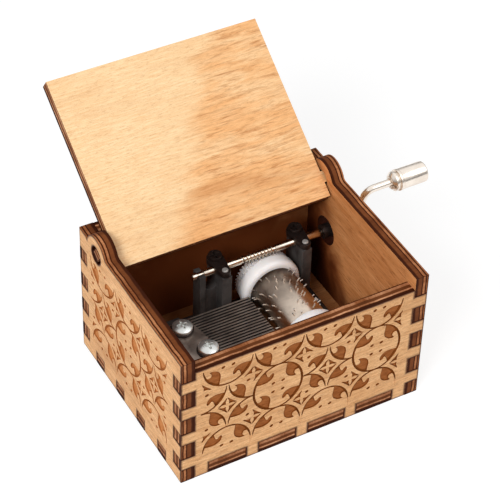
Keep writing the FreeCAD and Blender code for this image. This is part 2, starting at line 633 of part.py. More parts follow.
def toothed_band():
    """The wheel's toothed band, with a gap at the top for the worm's thread."""
    root_radius = WHEEL_TIP_RADIUS - WHEEL_TOOTH_DEPTH
    points = []
    for tooth in range(WHEEL_TOOTH_COUNT):
        middle = math.radians(FULL_TURN * (tooth + HALF) / WHEEL_TOOTH_COUNT)
        flanks = ((root_radius, -WHEEL_ROOT_WIDTH), (WHEEL_TIP_RADIUS, -WHEEL_TIP_WIDTH),
                  (WHEEL_TIP_RADIUS, WHEEL_TIP_WIDTH), (root_radius, WHEEL_ROOT_WIDTH))
        for radius, width in flanks:
            angle = middle + width * HALF / radius
            points.append(cylinder_point(BAND_FRONT_Y) + V(math.sin(angle), 0, math.cos(angle)) * radius)
    return plate(points, Y_AXIS * WHEEL_BAND)


def worm_wheel():
    """The moulded wheel: smooth collar, toothed band behind it, spigot in the cylinder."""
    collar_profile = [(0, 0), (0, WHEEL_COLLAR_RADIUS - WHEEL_COLLAR_ROUND),
                      (WHEEL_COLLAR_ROUND, WHEEL_COLLAR_RADIUS),
                      (BAND_FRONT_Y - CYLINDER_REAR_Y, WHEEL_COLLAR_RADIUS),
                      (BAND_FRONT_Y - CYLINDER_REAR_Y, 0)]
    centre = cylinder_point(CYLINDER_REAR_Y)
    rim = WHEEL_COLLAR_RADIUS - WHEEL_COLLAR_ROUND
    points = [centre + Y_AXIS * along + Z_AXIS * radius for along, radius in collar_profile]
    corner = centre + Y_AXIS * WHEEL_COLLAR_ROUND + Z_AXIS * rim
    diagonal = WHEEL_COLLAR_ROUND * math.sin(MITRE)
    middle = corner - Y_AXIS * diagonal + Z_AXIS * diagonal
    edges = [Part.makeLine(points[0], points[1]), Part.Arc(points[1], middle, points[2]).toShape(),
             Part.makeLine(points[2], points[3]), Part.makeLine(points[3], points[4]),
             Part.makeLine(points[4], points[0])]
    collar = Part.Face(Part.Wire(edges)).revolve(centre, Y_AXIS, FULL_TURN)
    spigot = rod(cylinder_point(CYLINDER_REAR_Y - PLUG_DEPTH), Y_AXIS, CYLINDER_BORE - THREAD_FIT, PLUG_DEPTH)
    return join(collar, toothed_band(), spigot).cut(arbor_hole())


def end_cap():
    """The moulded cap on the cylinder's front end."""
    start = END_CAP_FRONT_Y
    disc = rod(cylinder_point(start), Y_AXIS, END_CAP_RADIUS, END_CAP_WIDTH)
    disc = disc.makeFillet(END_CAP_ROUND, [edge for edge in disc.Edges if len(edge.Vertexes) == 1])
    spigot = rod(cylinder_point(CYLINDER_FRONT_Y), Y_AXIS, CYLINDER_BORE - THREAD_FIT, PLUG_DEPTH)
    return join(disc, spigot).cut(arbor_hole())


def arbor_hole():
    """The bore of the wheel and of the end cap, which are pressed on the arbor."""
    return rod(cylinder_point(ARBOR_FRONT_Y), Y_AXIS, ARBOR_RADIUS + THREAD_FIT, ARBOR_REAR_Y - ARBOR_FRONT_Y)


def cylinder_arbor():
    """The steel arbor that the cylinder turns on."""
    return rod(cylinder_point(ARBOR_FRONT_Y), Y_AXIS, ARBOR_RADIUS, ARBOR_REAR_Y - ARBOR_FRONT_Y)


# --- crank ------------------------------------------------------------------------------
def shaft_point(x):
    """The point of the crank shaft's axis at a given x."""
    return V(x, SHAFT_Y, SHAFT_Z)


def worm_thread():
    """The worm's right-handed thread as a swept ridge."""
    helix = Part.makeHelix(WORM_PITCH, WORM_LENGTH, WORM_CORE_RADIUS)
    inner = WORM_CORE_RADIUS - WORM_THREAD_SINK
    crest = WORM_CREST_WIDTH * HALF
    flank_slope = (WORM_BASE_WIDTH - WORM_CREST_WIDTH) * HALF / WORM_THREAD_DEPTH
    root = crest + (WORM_RADIUS - inner) * flank_slope
    points = [V(inner, 0, -root), V(WORM_RADIUS, 0, -crest), V(WORM_RADIUS, 0, crest), V(inner, 0, root)]
    section = Part.Wire(Part.makePolygon(points + points[:1]))
    ridge = Part.Wire(helix).makePipeShell([section], True, True)
    turn = FreeCAD.Rotation(Y_AXIS, Z_AXIS, X_AXIS, "ZXY")
    ridge.Placement = FreeCAD.Placement(shaft_point(WORM_START_X), turn)
    return ridge


def crank_shaft():
    """The shaft with its neck, its worm and its plain bearing lengths."""
    tip_end = SHAFT_TIP_LENGTH
    neck_end = tip_end + NECK_LENGTH
    worm_start = WORM_START_X - WORM_BASE_WIDTH - SHAFT_LEFT_X
    worm_end = worm_start + WORM_LENGTH + 2 * WORM_BASE_WIDTH
    end = COUPLING_MID_X - SHAFT_LEFT_X
    profile = [(0, 0), (0, SHAFT_TIP_RADIUS), (tip_end, SHAFT_TIP_RADIUS), (tip_end, NECK_RADIUS),
               (neck_end, NECK_RADIUS), (neck_end, SHAFT_RADIUS), (worm_start, SHAFT_RADIUS),
               (worm_start, WORM_CORE_RADIUS), (worm_end, WORM_CORE_RADIUS), (worm_end, SHAFT_RADIUS),
               (end, SHAFT_RADIUS), (end, 0)]
    return join(turned(profile, shaft_point(SHAFT_LEFT_X), X_AXIS), worm_thread())


def crank_coupling():
    """The dark sleeve that joins the shaft to the crank wire."""
    start = shaft_point(COUPLING_MID_X - COUPLING_LENGTH * HALF)
    left = tube(start, X_AXIS, COUPLING_RADIUS, SHAFT_RADIUS + THREAD_FIT, COUPLING_LENGTH * HALF)
    right = tube(shaft_point(COUPLING_MID_X), X_AXIS, COUPLING_RADIUS, WIRE_RADIUS + THREAD_FIT,
                 COUPLING_LENGTH * HALF)
    return join(left, right)


def arm_direction():
    """Unit vector from the shaft's axis to the knob's axis."""
    lean = math.radians(CRANK_LEAN)
    return V(0, -math.sin(lean), math.cos(lean))


def knob_point(x):
    """The point of the knob's axis at a given x."""
    return shaft_point(x) + arm_direction() * CRANK_RADIUS


def crank_wire():
    """The bent wire: along the shaft's axis, up the arm, and out along the knob's axis."""
    up = arm_direction()
    start = shaft_point(COUPLING_MID_X)
    corner_low = shaft_point(CRANK_PLANE_X)
    corner_high = knob_point(CRANK_PLANE_X)
    end = knob_point(WIRE_END_X)
    slack = CRANK_BEND * (1 - math.cos(MITRE))
    low_mid = corner_low + (up - X_AXIS) * slack
    high_mid = corner_high + (X_AXIS - up) * slack
    path = [Part.makeLine(start, corner_low - X_AXIS * CRANK_BEND),
            Part.Arc(corner_low - X_AXIS * CRANK_BEND, low_mid, corner_low + up * CRANK_BEND).toShape(),
            Part.makeLine(corner_low + up * CRANK_BEND, corner_high - up * CRANK_BEND),
            Part.Arc(corner_high - up * CRANK_BEND, high_mid, corner_high + X_AXIS * CRANK_BEND).toShape(),
            Part.makeLine(corner_high + X_AXIS * CRANK_BEND, end)]
    section = Part.Wire(Part.makeCircle(WIRE_RADIUS, start, X_AXIS))
    wire = Part.Wire(path).makePipeShell([section], True, False)
    head = rod(knob_point(WIRE_END_X - WIRE_HEAD_LENGTH), X_AXIS, WIRE_HEAD_RADIUS, WIRE_HEAD_LENGTH)
    return join(wire, head)


def knob_hub():
    """The slotted ring that closes the knob's inner end and keeps it on the wire."""
    flange_start = KNOB_HUB_LENGTH
    sleeve_start = flange_start + KNOB_FLANGE_LENGTH
    plug_end = WIRE_END_X - WIRE_HEAD_LENGTH - KNOB_ENDPLAY - KNOB_INNER_X
    bore = WIRE_RADIUS + RUNNING_FIT
    plug = KNOB_BORE_RADIUS - THREAD_FIT
    profile = [(0, bore), (0, KNOB_HUB_RADIUS - KNOB_HUB_CHAMFER), (KNOB_HUB_CHAMFER, KNOB_HUB_RADIUS),
               (flange_start - KNOB_GROOVE_LENGTH, KNOB_HUB_RADIUS),
               (flange_start - KNOB_GROOVE_LENGTH, KNOB_HUB_RADIUS - KNOB_GROOVE_DEPTH),
               (flange_start, KNOB_HUB_RADIUS - KNOB_GROOVE_DEPTH), (flange_start, KNOB_FLANGE_RADIUS),
               (sleeve_start, KNOB_FLANGE_RADIUS), (sleeve_start, plug), (plug_end, plug), (plug_end, bore)]
    hub = turned(profile, knob_point(KNOB_INNER_X), X_AXIS)
    centre = knob_point(KNOB_INNER_X)
    slot = box(centre.x, centre.x + KNOB_SLOT_DEPTH, centre.y - KNOB_HUB_RADIUS, centre.y + KNOB_HUB_RADIUS,
               centre.z - KNOB_SLOT_WIDTH * HALF, centre.z + KNOB_SLOT_WIDTH * HALF)
    return hub.cut(slot)


def knob_sleeve():
    """The knob's round body, hollow for the wire's peened head."""
    start = KNOB_INNER_X + KNOB_HUB_LENGTH + KNOB_FLANGE_LENGTH
    length = KNOB_END_X - start
    body = rod(knob_point(start), X_AXIS, KNOB_RADIUS, length)
    circles = [edge for edge in body.Edges if len(edge.Vertexes) == 1]
    rims = [edge for edge in circles if edge.CenterOfMass.x > start + KNOB_ROUND]
    body = body.makeFillet(KNOB_ROUND, rims)
    return body.cut(rod(knob_point(start), X_AXIS, KNOB_BORE_RADIUS, length - KNOB_END_WALL))


def main():
    """Build every node and write it to parts/."""
    os.makedirs("parts", exist_ok=True)
    seat = CASE_HEIGHT - PLY
    save("front_panel", end_panel(-HALF_DEPTH, seat - LID_SEAT_GAP))
    save("back_panel", end_panel(INNER_HALF_DEPTH, open_lid_height(INNER_HALF_DEPTH) - LID_SEAT_GAP))
    save("left_panel", side_panel(-HALF_WIDTH))
    save("right_panel", right_panel())
    save("bottom_panel", bottom_panel())
    save("lid", lid())
    save("mounting_screws", *[mount_screw(x, y) for x, y in MOUNT_SCREW_SPOTS])

    save("bedplate", bedplate())
    save("bearing_cap_left", bearing_cap(BEARING_LEFT_X))
    save("bearing_cap_right", bearing_cap(BEARING_RIGHT_X))
    save("cap_screws", cap_screw(BEARING_LEFT_X), cap_screw(BEARING_RIGHT_X))
    save("cap_dowels", cap_pin(BEARING_LEFT_X), cap_pin(BEARING_RIGHT_X))
    save("comb", comb())
    save("comb_weights", *comb_weights())
    save("comb_screws", comb_screw(*COMB_SCREW_REAR), comb_screw(*COMB_SCREW_FRONT))
    save("comb_washers", comb_washer(*COMB_SCREW_REAR), comb_washer(*COMB_SCREW_FRONT))

    save("cylinder_barrel", cylinder_barrel())
    save("cylinder_pins", *music_pins())
    save("cylinder_arbor", cylinder_arbor())
    save("worm_wheel", worm_wheel())
    save("cylinder_end_cap", end_cap())

    save("worm_shaft", crank_shaft())
    save("crank_coupling", crank_coupling())
    save("crank_wire", crank_wire())
    save("knob_hub", knob_hub())
    save("knob_sleeve", knob_sleeve())


main()
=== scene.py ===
"""Looks of a hand-cranked music box: a laser-cut plywood case with burnt edges and an
engraved vine trellis, its open lid, a pinned-cylinder movement and a bent wire crank.

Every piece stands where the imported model's nodes stand. Lengths are in millimetres until a
finished mesh is brought into the frame, which is in metres.
"""
import json
import logging
import math
from dataclasses import dataclass, field, fields
from enum import Enum
from itertools import pairwise

import bmesh
import bpy
from mathutils import Euler, Matrix, Vector
from mathutils.geometry import delaunay_2d_cdt


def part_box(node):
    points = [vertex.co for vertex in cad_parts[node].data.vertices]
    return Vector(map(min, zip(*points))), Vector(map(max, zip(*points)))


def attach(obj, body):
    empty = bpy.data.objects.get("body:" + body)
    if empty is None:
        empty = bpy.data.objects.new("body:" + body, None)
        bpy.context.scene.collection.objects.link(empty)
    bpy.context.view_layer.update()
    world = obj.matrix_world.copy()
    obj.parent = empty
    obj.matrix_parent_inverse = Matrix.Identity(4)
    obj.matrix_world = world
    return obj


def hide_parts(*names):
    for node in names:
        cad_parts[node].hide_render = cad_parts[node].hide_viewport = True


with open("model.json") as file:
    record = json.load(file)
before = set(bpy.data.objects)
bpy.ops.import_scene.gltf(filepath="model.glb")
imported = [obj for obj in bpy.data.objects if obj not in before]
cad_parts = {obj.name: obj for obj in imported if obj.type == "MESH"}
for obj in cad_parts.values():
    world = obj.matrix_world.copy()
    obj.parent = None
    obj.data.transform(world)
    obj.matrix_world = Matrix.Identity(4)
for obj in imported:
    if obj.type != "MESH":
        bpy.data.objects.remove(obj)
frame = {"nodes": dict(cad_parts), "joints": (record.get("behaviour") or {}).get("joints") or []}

log = logging.getLogger("music_box")

MM = 0.001
BOARD = "board"    # place on the board in mm: along the grain, across it, through it
SCORCH = "scorch"  # on a face: 1 beside a cut, 0 where the burn has faded
CHAR = "char"      # on a cut edge: 1 where it is burnt black

WELD = 2e-6        # metres within which the loose corners of a node's copy are one
FLAT = 0.4         # degrees under which two faces of a node count as one flat face
SHARP = 38.0       # degrees above which an edge is an edge and not part of a round

Point = tuple[float, float]
Triple = tuple[float, float, float]
Stretches = tuple[tuple[Point, ...], ...]
Colour = tuple[float, float, float, float]
Socket = bpy.types.NodeSocket


# --- small helpers -----------------------------------------------------------------
def srgb(red: int, green: int, blue: int) -> Colour:
    """Linear colour of a display colour.

    Args:
        red, green, blue: display levels from 0 to 255.

    Returns:
        The linear colour with full alpha.
    """
    def linear(level: int) -> float:
        """Linear value of one display level."""
        share = level / 255
        return share / 12.92 if share <= 0.04045 else ((share + 0.055) / 1.055) ** 2.4

    return linear(red), linear(green), linear(blue), 1.0


def grey(level: float) -> Colour:
    """A grey of one linear level."""
    return level, level, level, 1.0


def corners(node: str) -> tuple[Vector, Vector]:
    """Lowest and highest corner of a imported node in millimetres.

    Args:
        node: the node's name.

    Returns:
        The two corners.
    """
    low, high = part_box(node)
    return low / MM, high / MM


def activate(obj: bpy.types.Object) -> None:
    """Select one object alone and make it the active one.

    Args:
        obj: the object.
    """
    bpy.ops.object.select_all(action="DESELECT")
    obj.select_set(True)
    bpy.context.view_layer.objects.active = obj


def linked(name: str, mesh: bpy.types.Mesh) -> bpy.types.Object:
    """A new object on a mesh, linked into the scene and active.

    Args:
        name: the object's name.
        mesh: its mesh.

    Returns:
        The object.
    """
    obj = bpy.data.objects.new(name, mesh)
    bpy.context.scene.collection.objects.link(obj)
    activate(obj)
    return obj


def hand_over(piece: bpy.types.Object, body: str, node: str) -> None:
    """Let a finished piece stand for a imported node.

    Args:
        piece: the finished object.
        body: the body that it rides on.
        node: the node that it replaces.
    """
    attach(piece, body)
    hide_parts(node)
    log.info("%s: %d faces", piece.name, len(piece.data.polygons))


def round_stretch(centre: Point, radius: float, start: float, end: float, steps: int) -> list[Point]:
    """Points of a round stretch of an outline.

    Args:
        centre: the stretch's centre.
        radius: its radius.
        start, end: its first and last angle in degrees.
        steps: how many chords it has.

    Returns:
        The points, both ends included.
    """
    angles = [math.radians(start + (end - start) * step / steps) for step in range(steps + 1)]
    return [(centre[0] + radius * math.cos(angle), centre[1] + radius * math.sin(angle))
            for angle in angles]


def circle(centre: Point, radius: float, steps: int = 48) -> list[Point]:
    """A closed round outline, anticlockwise."""
    return round_stretch(centre, radius, 0, 360 - 360 / steps, steps - 1)


def inset(loop: list[Point], distance: float) -> list[Point]:
    """A closed outline moved towards its left side, with mitred corners.

    Args:
        loop: the outline; its left side is its inside when it runs anticlockwise.
        distance: how far each side moves.

    Returns:
        The moved outline, point for point.
    """
    longest = 3.0 * distance
    folded = 1e-3  # spread under which the outline turns straight back
    moved = []
    for index, (x, y) in enumerate(loop):
        before = Vector(loop[index - 1])
        here = Vector((x, y))
        after = Vector(loop[(index + 1) % len(loop)])
        first = (here - before).normalized()
        second = (after - here).normalized()
        normal = Vector((-first.y - second.y, first.x + second.x))
        spread = 1 + first.dot(second)
        step = normal * (distance / spread) if spread > folded else normal.normalized() * longest
        if step.length > abs(longest):
            step = step.normalized() * abs(longest)
        moved.append((x + step.x, y + step.y))
    return moved


def smooth_loop(stretches: Stretches, steps: int = 3) -> list[Point]:
    """A closed curve through given points.

    Args:
        stretches: its smooth stretches; the curve has a corner at the first point of each.
        steps: chords between two points.

    Returns:
        The curve's points.
    """
    points = [Vector(point) for stretch in stretches for point in stretch]
    sharp = [number == 0 for stretch in stretches for number in range(len(stretch))]
    count = len(points)
    curve = []
    for index in range(count):
        following = (index + 1) % count
        start, end = points[index], points[following]
        before = start if sharp[index] else points[index - 1]
        after = end if sharp[following] else points[(index + 2) % count]
        leave = (end - before) / 2
        arrive = (after - start) / 2
        for step in range(steps):
            t = step / steps
            place = (start * (2 * t ** 3 - 3 * t ** 2 + 1) + leave * (t ** 3 - 2 * t ** 2 + t)
                     + end * (-2 * t ** 3 + 3 * t ** 2) + arrive * (t ** 3 - t ** 2))
            curve.append((place.x, place.y))
    return curve


# --- finishes ----------------------------------------------------------------------
class Nodes:
    """A node tree that is being written."""

    def __init__(self, tree: bpy.types.NodeTree) -> None:
        """Start with an empty tree."""
        self.tree = tree
        self.tree.nodes.clear()

    def give(self, target: Socket, value: object) -> None:
        """Set a socket to a number or colour, or link it to another socket.

        Args:
            target: the input.
            value: what it gets.
        """
        if isinstance(value, bpy.types.NodeSocket):
            self.tree.links.new(value, target)
        else:
            target.default_value = value

    def add(self, kind: str, given: dict[str | int, object] | None = None,
            **settings: object) -> bpy.types.Node:
        """A new node.

        Args:
            kind: its type, without the ShaderNode before it.
            given: what its inputs get, by name or number.
            settings: its own properties.

        Returns:
            The node.
        """
        node = self.tree.nodes.new("ShaderNode" + kind)
        for name, value in settings.items():
            setattr(node, name, value)
        for socket, value in (given or {}).items():
            self.give(node.inputs[socket], value)
        return node

    def axis(self, vector: Socket, letter: str) -> Socket:
        """One axis of a vector."""
        return self.add("SeparateXYZ", {"Vector": vector}).outputs[letter]

    def ramp(self, source: Socket, *stops: tuple[float, object], smooth: bool = False) -> Socket:
        """A value turned into a grey or a colour.

        Args:
            source: the value.
            stops: (place, grey level or colour) of each stop.
            smooth: whether it eases from stop to stop.

        Returns:
            The ramp's output.
        """
        node = self.add("ValToRGB", {"Fac": source})
        node.color_ramp.interpolation = "EASE" if smooth else "LINEAR"
        elements = node.color_ramp.elements
        while len(elements) < len(stops):
            elements.new(0.5)
        for element, (position, value) in zip(elements, stops):
            element.position = position
            element.color = value if isinstance(value, tuple) else grey(value)
        return node.outputs["Color"]

    def mix(self, share: object, first: object, second: object) -> Socket:
        """The first colour turning into the second as the share goes from 0 to 1."""
        return self.add("Mix", {0: share, 6: first, 7: second}, data_type="RGBA").outputs[2]

    def between(self, share: object, first: object, second: object) -> Socket:
        """The first value turning into the second as the share goes from 0 to 1."""
        return self.add("Mix", {0: share, 2: first, 3: second}, data_type="FLOAT").outputs[0]

    def math(self, operation: str, first: object, second: object = 0.0) -> Socket:
        """Arithmetic on two values, by the Math node's name for it."""
        return self.add("Math", {0: first, 1: second}, operation=operation).outputs[0]


class Pen(Nodes):
    """Writes the node tree of one finish."""

    def __init__(self, name: str) -> None:
        """Start a material with one Principled shader.

        Args:
            name: the material's name.
        """
        self.material = bpy.data.materials.new(name)
        self.material.use_nodes = True
        super().__init__(self.material.node_tree)
        self.shader = self.add("BsdfPrincipled")
        self.add("OutputMaterial", {"Surface": self.shader.outputs["BSDF"]})

    def set(self, **values: object) -> None:
        """Give the shader's sockets their values; Base_Color stands for Base Color."""
        for name, value in values.items():
            self.give(self.shader.inputs[name.replace("_", " ")], value)

    def place(self, attribute: str | None, scale: Triple = (1.0, 1.0, 1.0)) -> Socket:
        """Pattern coordinates.

        Args:
            attribute: the mesh attribute to read, or None for Object coordinates in metres.
            scale: how much the pattern is squeezed along each axis.

        Returns:
            The coordinates.
        """
        if attribute:
            vector = self.add("Attribute", attribute_name=attribute).outputs["Vector"]
        else:
            vector = self.add("TexCoord").outputs["Object"]
        return self.add("Mapping", {"Vector": vector, "Scale": scale}).outputs["Vector"]

    def noise(self, vector: Socket, detail: float = 3.0, rough: float = 0.55,
              warp: float = 0.0) -> Socket:
        """A noise pattern.

        Args:
            vector: its coordinates.
            detail: how many finer layers it has.
            rough: how strong the finer layers are.
            warp: how much it is distorted.

        Returns:
            The pattern's value.
        """
        given = {"Vector": vector, "Scale": 1.0, "Detail": detail, "Roughness": rough, "Distortion": warp}
        return self.add("TexNoise", given).outputs["Fac"]

    def grain(self, squeeze: Triple, *shape: float) -> Socket:
        """Noise laid on the board, squeezed along each of its axes; its shape is as in noise."""
        return self.noise(self.place(BOARD, squeeze), *shape)

    def speckle(self, squeeze: Triple, *shape: float) -> Socket:
        """Noise in the piece's own space, squeezed along each axis; its shape is as in noise."""
        return self.noise(self.place(None, squeeze), *shape)

    def attribute(self, name: str) -> Socket:
        """A float attribute's value."""
        return self.add("Attribute", attribute_name=name).outputs["Fac"]

    def rise(self, source: Socket, low: float, high: float, top: float = 1.0,
             smooth: bool = False) -> Socket:
        """0 up to the low value, then rising to the top level at the high one; see ramp."""
        return self.ramp(source, (low, 0.0), (high, top), smooth=smooth)

    def plus(self, first: object, second: object) -> Socket:
        """The sum of two values."""
        return self.math("ADD", first, second)

    def minus(self, first: object, second: object) -> Socket:
        """The first value less the second."""
        return self.math("SUBTRACT", first, second)

    def times(self, first: object, second: object) -> Socket:
        """The product of two values."""
        return self.math("MULTIPLY", first, second)

    def over(self, first: object, second: object) -> Socket:
        """The first value divided by the second."""
        return self.math("DIVIDE", first, second)

    def bump(self, height: Socket, distance: float, strength: float) -> None:
        """Bump the shader's normal by a height pattern; the distance is in millimetres."""
        node = self.add("Bump", {"Height": height, "Distance": distance * MM, "Strength": strength})
        self.give(self.shader.inputs["Normal"], node.outputs["Normal"])


class Finish:
    """What a surface is made of; each kind writes its own nodes."""

    name: str

    def material(self) -> bpy.types.Material:
        """Write the finish's nodes into a new material.

        Returns:
            The material.
        """
        pen = Pen(self.name)
        self.write(pen)
        return pen.material


@dataclass(frozen=True)
class Heartwood:
    """The darker heartwood of a board; its places are in mm on the board, along and across."""

    fade: tuple[float, float]   # along the grain, where it starts and where it is full
    middle: float               # place across the grain that this is said for
    lean: float                 # how much its edge leans along the grain
    wave: float                 # how far its edge wanders along the grain
    rear: float                 # across the grain, where it deepens towards the rear
    tone: Colour
    streak: Colour
    brown: Colour               # of its darkest grain
    band: Triple                # a darker streak: place across, half width, slope
    fades_from: float = -10.0   # place along the grain from which the deeper tones fade
    fades_over: float = 40.0    # and the length that they fade over

    def lay(self, pen: Pen, base: Socket, fibres: Socket, streaks: Socket, clouds: Socket) -> Socket:
        """Lay the heartwood over the sapwood.

        Args:
            pen: the finish's pen.
            base: the sapwood's colour.
            fibres, streaks, clouds: the wood's fine, long and broad patterns.

        Returns:
            The colour of both.
        """
        board = pen.place(BOARD)
        along, across = pen.axis(board, "X"), pen.axis(board, "Y")
        wander = pen.plus(clouds, pen.times(streaks, 1.4))
        waved = pen.times(pen.minus(wander, 1.2), self.wave)
        leaning = pen.times(pen.minus(across, self.middle), self.lean)
        edge = pen.plus(along, pen.plus(waved, leaning))
        share = pen.over(pen.minus(edge, self.fade[0]), self.fade[1] - self.fade[0])
        inside = pen.rise(share, 0.0, 1.0, smooth=True)
        faded = pen.over(pen.minus(along, self.fades_from), self.fades_over)
        faded = pen.ramp(faded, (0.0, 1.0), (1.0, 0.25))
        rear = pen.over(pen.minus(across, self.rear), 2.2)
        rear = pen.plus(rear, pen.times(pen.minus(streaks, 0.5), 2.5))
        deeper = pen.times(pen.rise(rear, 0.0, 1.0, 0.4, smooth=True), faded)
        tone = pen.mix(pen.rise(fibres, 0.4, 0.66), self.tone, self.streak)
        patches = pen.ramp(pen.grain((0.05, 0.24, 0.2), 3.0, 0.6, 0.6), (0.4, 0.35), (0.58, 1.0))
        base = pen.mix(pen.times(inside, patches), base, tone)
        base = pen.mix(pen.times(inside, deeper), base, self.streak)
        grained = pen.rise(pen.grain((0.13, 1.25, 0.6), 5.0, 0.72, 0.5), 0.5, 0.68, 0.9)
        base = pen.mix(pen.times(inside, grained), base, self.brown)
        place, half_width, slope = self.band
        off = pen.plus(across, pen.times(pen.minus(clouds, 0.5), 3.0))
        off = pen.minus(pen.minus(off, pen.times(along, slope)), place)
        off = pen.over(pen.math("ABSOLUTE", off), half_width)
        near = pen.times(pen.ramp(off, (0.3, 0.5), (1.0, 0.0), smooth=True), inside)
        return pen.mix(pen.times(near, faded), base, self.brown)


@dataclass(frozen=True)
class PlyFace(Finish):
    """Sanded birch veneer: fine fibres, broad figure, short dark pores, burn beside each cut."""

    name: str
    light: Colour
    mid: Colour
    dark: Colour
    burn: Colour = srgb(74, 36, 16)
    figure: float = 0.35     # strength of the broad darker figure
    pores: float = 0.4       # strength of the short dark pores
    sanding: float = 0.35    # strength of the fine sanding specks
    heart: Heartwood | None = None

    def write(self, pen: Pen) -> None:
        """Write the finish's nodes.

        Args:
            pen: the new material's pen.
        """
        fibres = pen.grain((0.17, 2.3, 0.8), 5.0, 0.75, 0.4)
        streaks = pen.grain((0.035, 0.34, 0.2), 4.0, 0.65, 1.0)
        clouds = pen.grain((0.06, 0.09, 0.05), 3.0, 0.55, 0.5)
        dashes = pen.rise(pen.grain((0.5, 3.6, 3.0), 4.0, 0.7, 0.2), 0.53, 0.68)
        sand = pen.grain((2.4, 3.4, 3.0), 3.0, 0.7)
        base = pen.mix(pen.rise(fibres, 0.4, 0.62), self.light, self.mid)
        base = pen.mix(pen.rise(clouds, 0.38, 0.66, 0.4), base, self.mid)
        if self.heart:
            base = self.heart.lay(pen, base, fibres, streaks, clouds)
        figure = pen.times(pen.rise(streaks, 0.46, 0.7), pen.ramp(clouds, (0.4, 0.1), (0.6, 1.0)))
        base = pen.mix(pen.times(figure, self.figure), base, self.dark)
        base = pen.mix(pen.times(dashes, self.pores), base, self.dark)
        base = pen.mix(pen.rise(sand, 0.5, 0.7, self.sanding), base, self.dark)
        ragged = pen.times(pen.grain((0.5, 0.5, 0.5), 4.0, 0.7), 0.9)
        soot = pen.times(pen.attribute(SCORCH), pen.plus(ragged, 0.55))
        base = pen.mix(pen.ramp(soot, (0.04, 0.0), (0.45, 0.4), (0.85, 1.0)), base, self.burn)
        pen.set(Base_Color=base, Roughness=pen.ramp(fibres, (0.2, 0.52), (0.8, 0.68)),
                Specular_IOR_Level=0.28)
        pen.bump(pen.plus(fibres, pen.minus(sand, dashes)), 0.05, 0.55)


@dataclass(frozen=True)
class StainedShadedPly(Finish):
    """Inner face of the case: birch darker towards the rear and low down, partly browned by the cutter's
    smoke and partly painted shade of the box's inside.
    """

    name: str
    light: Colour
    mid: Colour
    dark: Colour
    middle: tuple[float, float] = (0.012, 0.022)   # where it is half dark, y and z in metres
    pitch: tuple[float, float] = (34.0, 30.0)      # how fast it darkens to the rear and downwards
    soot: float = 0.0                              # strength of the soot and painted shade in the darkest places
    soot_tone: Colour = srgb(58, 24, 9)

    def write(self, pen: Pen) -> None:
        """Write the finish's nodes.

        Args:
            pen: the new material's pen.
        """
        fibres = pen.grain((0.2, 3.0, 0.8), 4.0, 0.7, 0.4)
        streaks = pen.grain((0.04, 0.3, 0.2), 4.0, 0.65, 1.2)
        smoke = pen.speckle((70.0, 70.0, 70.0), 3.0, 0.6, 0.5)
        place = pen.place(None)
        rear = pen.times(pen.minus(pen.axis(place, "Y"), self.middle[0]), self.pitch[0])
        low = pen.times(pen.minus(self.middle[1], pen.axis(place, "Z")), self.pitch[1])
        # how dark it gets towards the rear and low down: partly smoke stain, partly painted shade
        deep = pen.plus(pen.plus(rear, low), pen.times(smoke, 1.1))
        tone = pen.mix(pen.rise(streaks, 0.3, 0.74), self.light, self.mid)
        tone = pen.mix(pen.rise(fibres, 0.48, 0.7, 0.35), tone, self.dark)
        dashes = pen.rise(pen.grain((0.22, 2.2, 2.0), 4.0, 0.7, 0.2), 0.54, 0.66, 0.6)
        tone = pen.mix(dashes, tone, self.dark)
        tone = pen.mix(pen.rise(deep, 0.2, 0.95, smooth=True), tone, self.dark)
        # the darkest places take a soot tone that is partly painted shade
        soot_and_shade = pen.rise(pen.times(deep, 0.5), 0.3, 0.6, self.soot, smooth=True)
        pen.set(Base_Color=pen.mix(soot_and_shade, tone, self.soot_tone), Roughness=0.62, Specular_IOR_Level=0.12)
        pen.bump(pen.plus(fibres, streaks), 0.06, 0.5)


@dataclass(frozen=True)
class PlyEdge(Finish):
    """Laser-burnt edge of the plywood, with its veneers showing as lines."""

    name: str
    char: Colour
    brown: Colour
    tan: Colour
    layers: tuple[tuple[float, float], ...]  # (place, paleness), from the inner face (0) to the outer (1)
    thickness: float = 3.5

    def write(self, pen: Pen) -> None:
        """Write the finish's nodes.

        Args:
            pen: the new material's pen.
        """
        through = pen.axis(pen.place(BOARD), "Z")
        wobble = pen.grain((0.3, 0.3, 0.1), 3.0)
        shifted = pen.plus(through, pen.times(pen.minus(wobble, 0.5), 0.45))
        layers = pen.ramp(pen.over(shifted, self.thickness), *self.layers)
        grain = pen.grain((2.2, 2.2, 0.6), 4.0, 0.75)
        blotches = pen.grain((0.16, 0.16, 0.05), 2.0, 0.5)
        tone = pen.times(layers, pen.plus(grain, 0.5))
        tone = pen.times(tone, pen.ramp(blotches, (0.35, 0.6), (0.65, 1.0)))
        black = pen.times(pen.attribute(CHAR), pen.plus(grain, 0.7))
        tone = pen.times(tone, pen.minus(1.0, pen.rise(black, 0.1, 0.8)))
        colour = pen.ramp(tone, (0.0, self.char), (0.36, self.brown), (0.85, self.tan))
        pen.set(Base_Color=colour, Roughness=0.7, Specular_IOR_Level=0.08)
        pen.bump(pen.plus(tone, pen.times(grain, 0.5)), 0.09, 0.8)


@dataclass(frozen=True)
class Engraved(Finish):
    """Laser-engraved wood: burnt brown, with the raster's uneven tone."""

    name: str
    light: Colour
    dark: Colour

    def write(self, pen: Pen) -> None:
        """Write the finish's nodes.

        Args:
            pen: the new material's pen.
        """
        tone = pen.grain((0.5, 1.6, 1.0), 4.0, 0.65)
        raster = pen.grain((0.8, 7.0, 1.0), 2.0, 0.6)
        colour = pen.mix(pen.rise(tone, 0.3, 0.7), self.dark, self.light)
        colour = pen.mix(pen.rise(raster, 0.42, 0.62, 0.5), colour, self.dark)
        pen.set(Base_Color=colour, Roughness=0.85, Specular_IOR_Level=0.05)
        pen.bump(pen.plus(tone, raster), 0.05, 0.6)


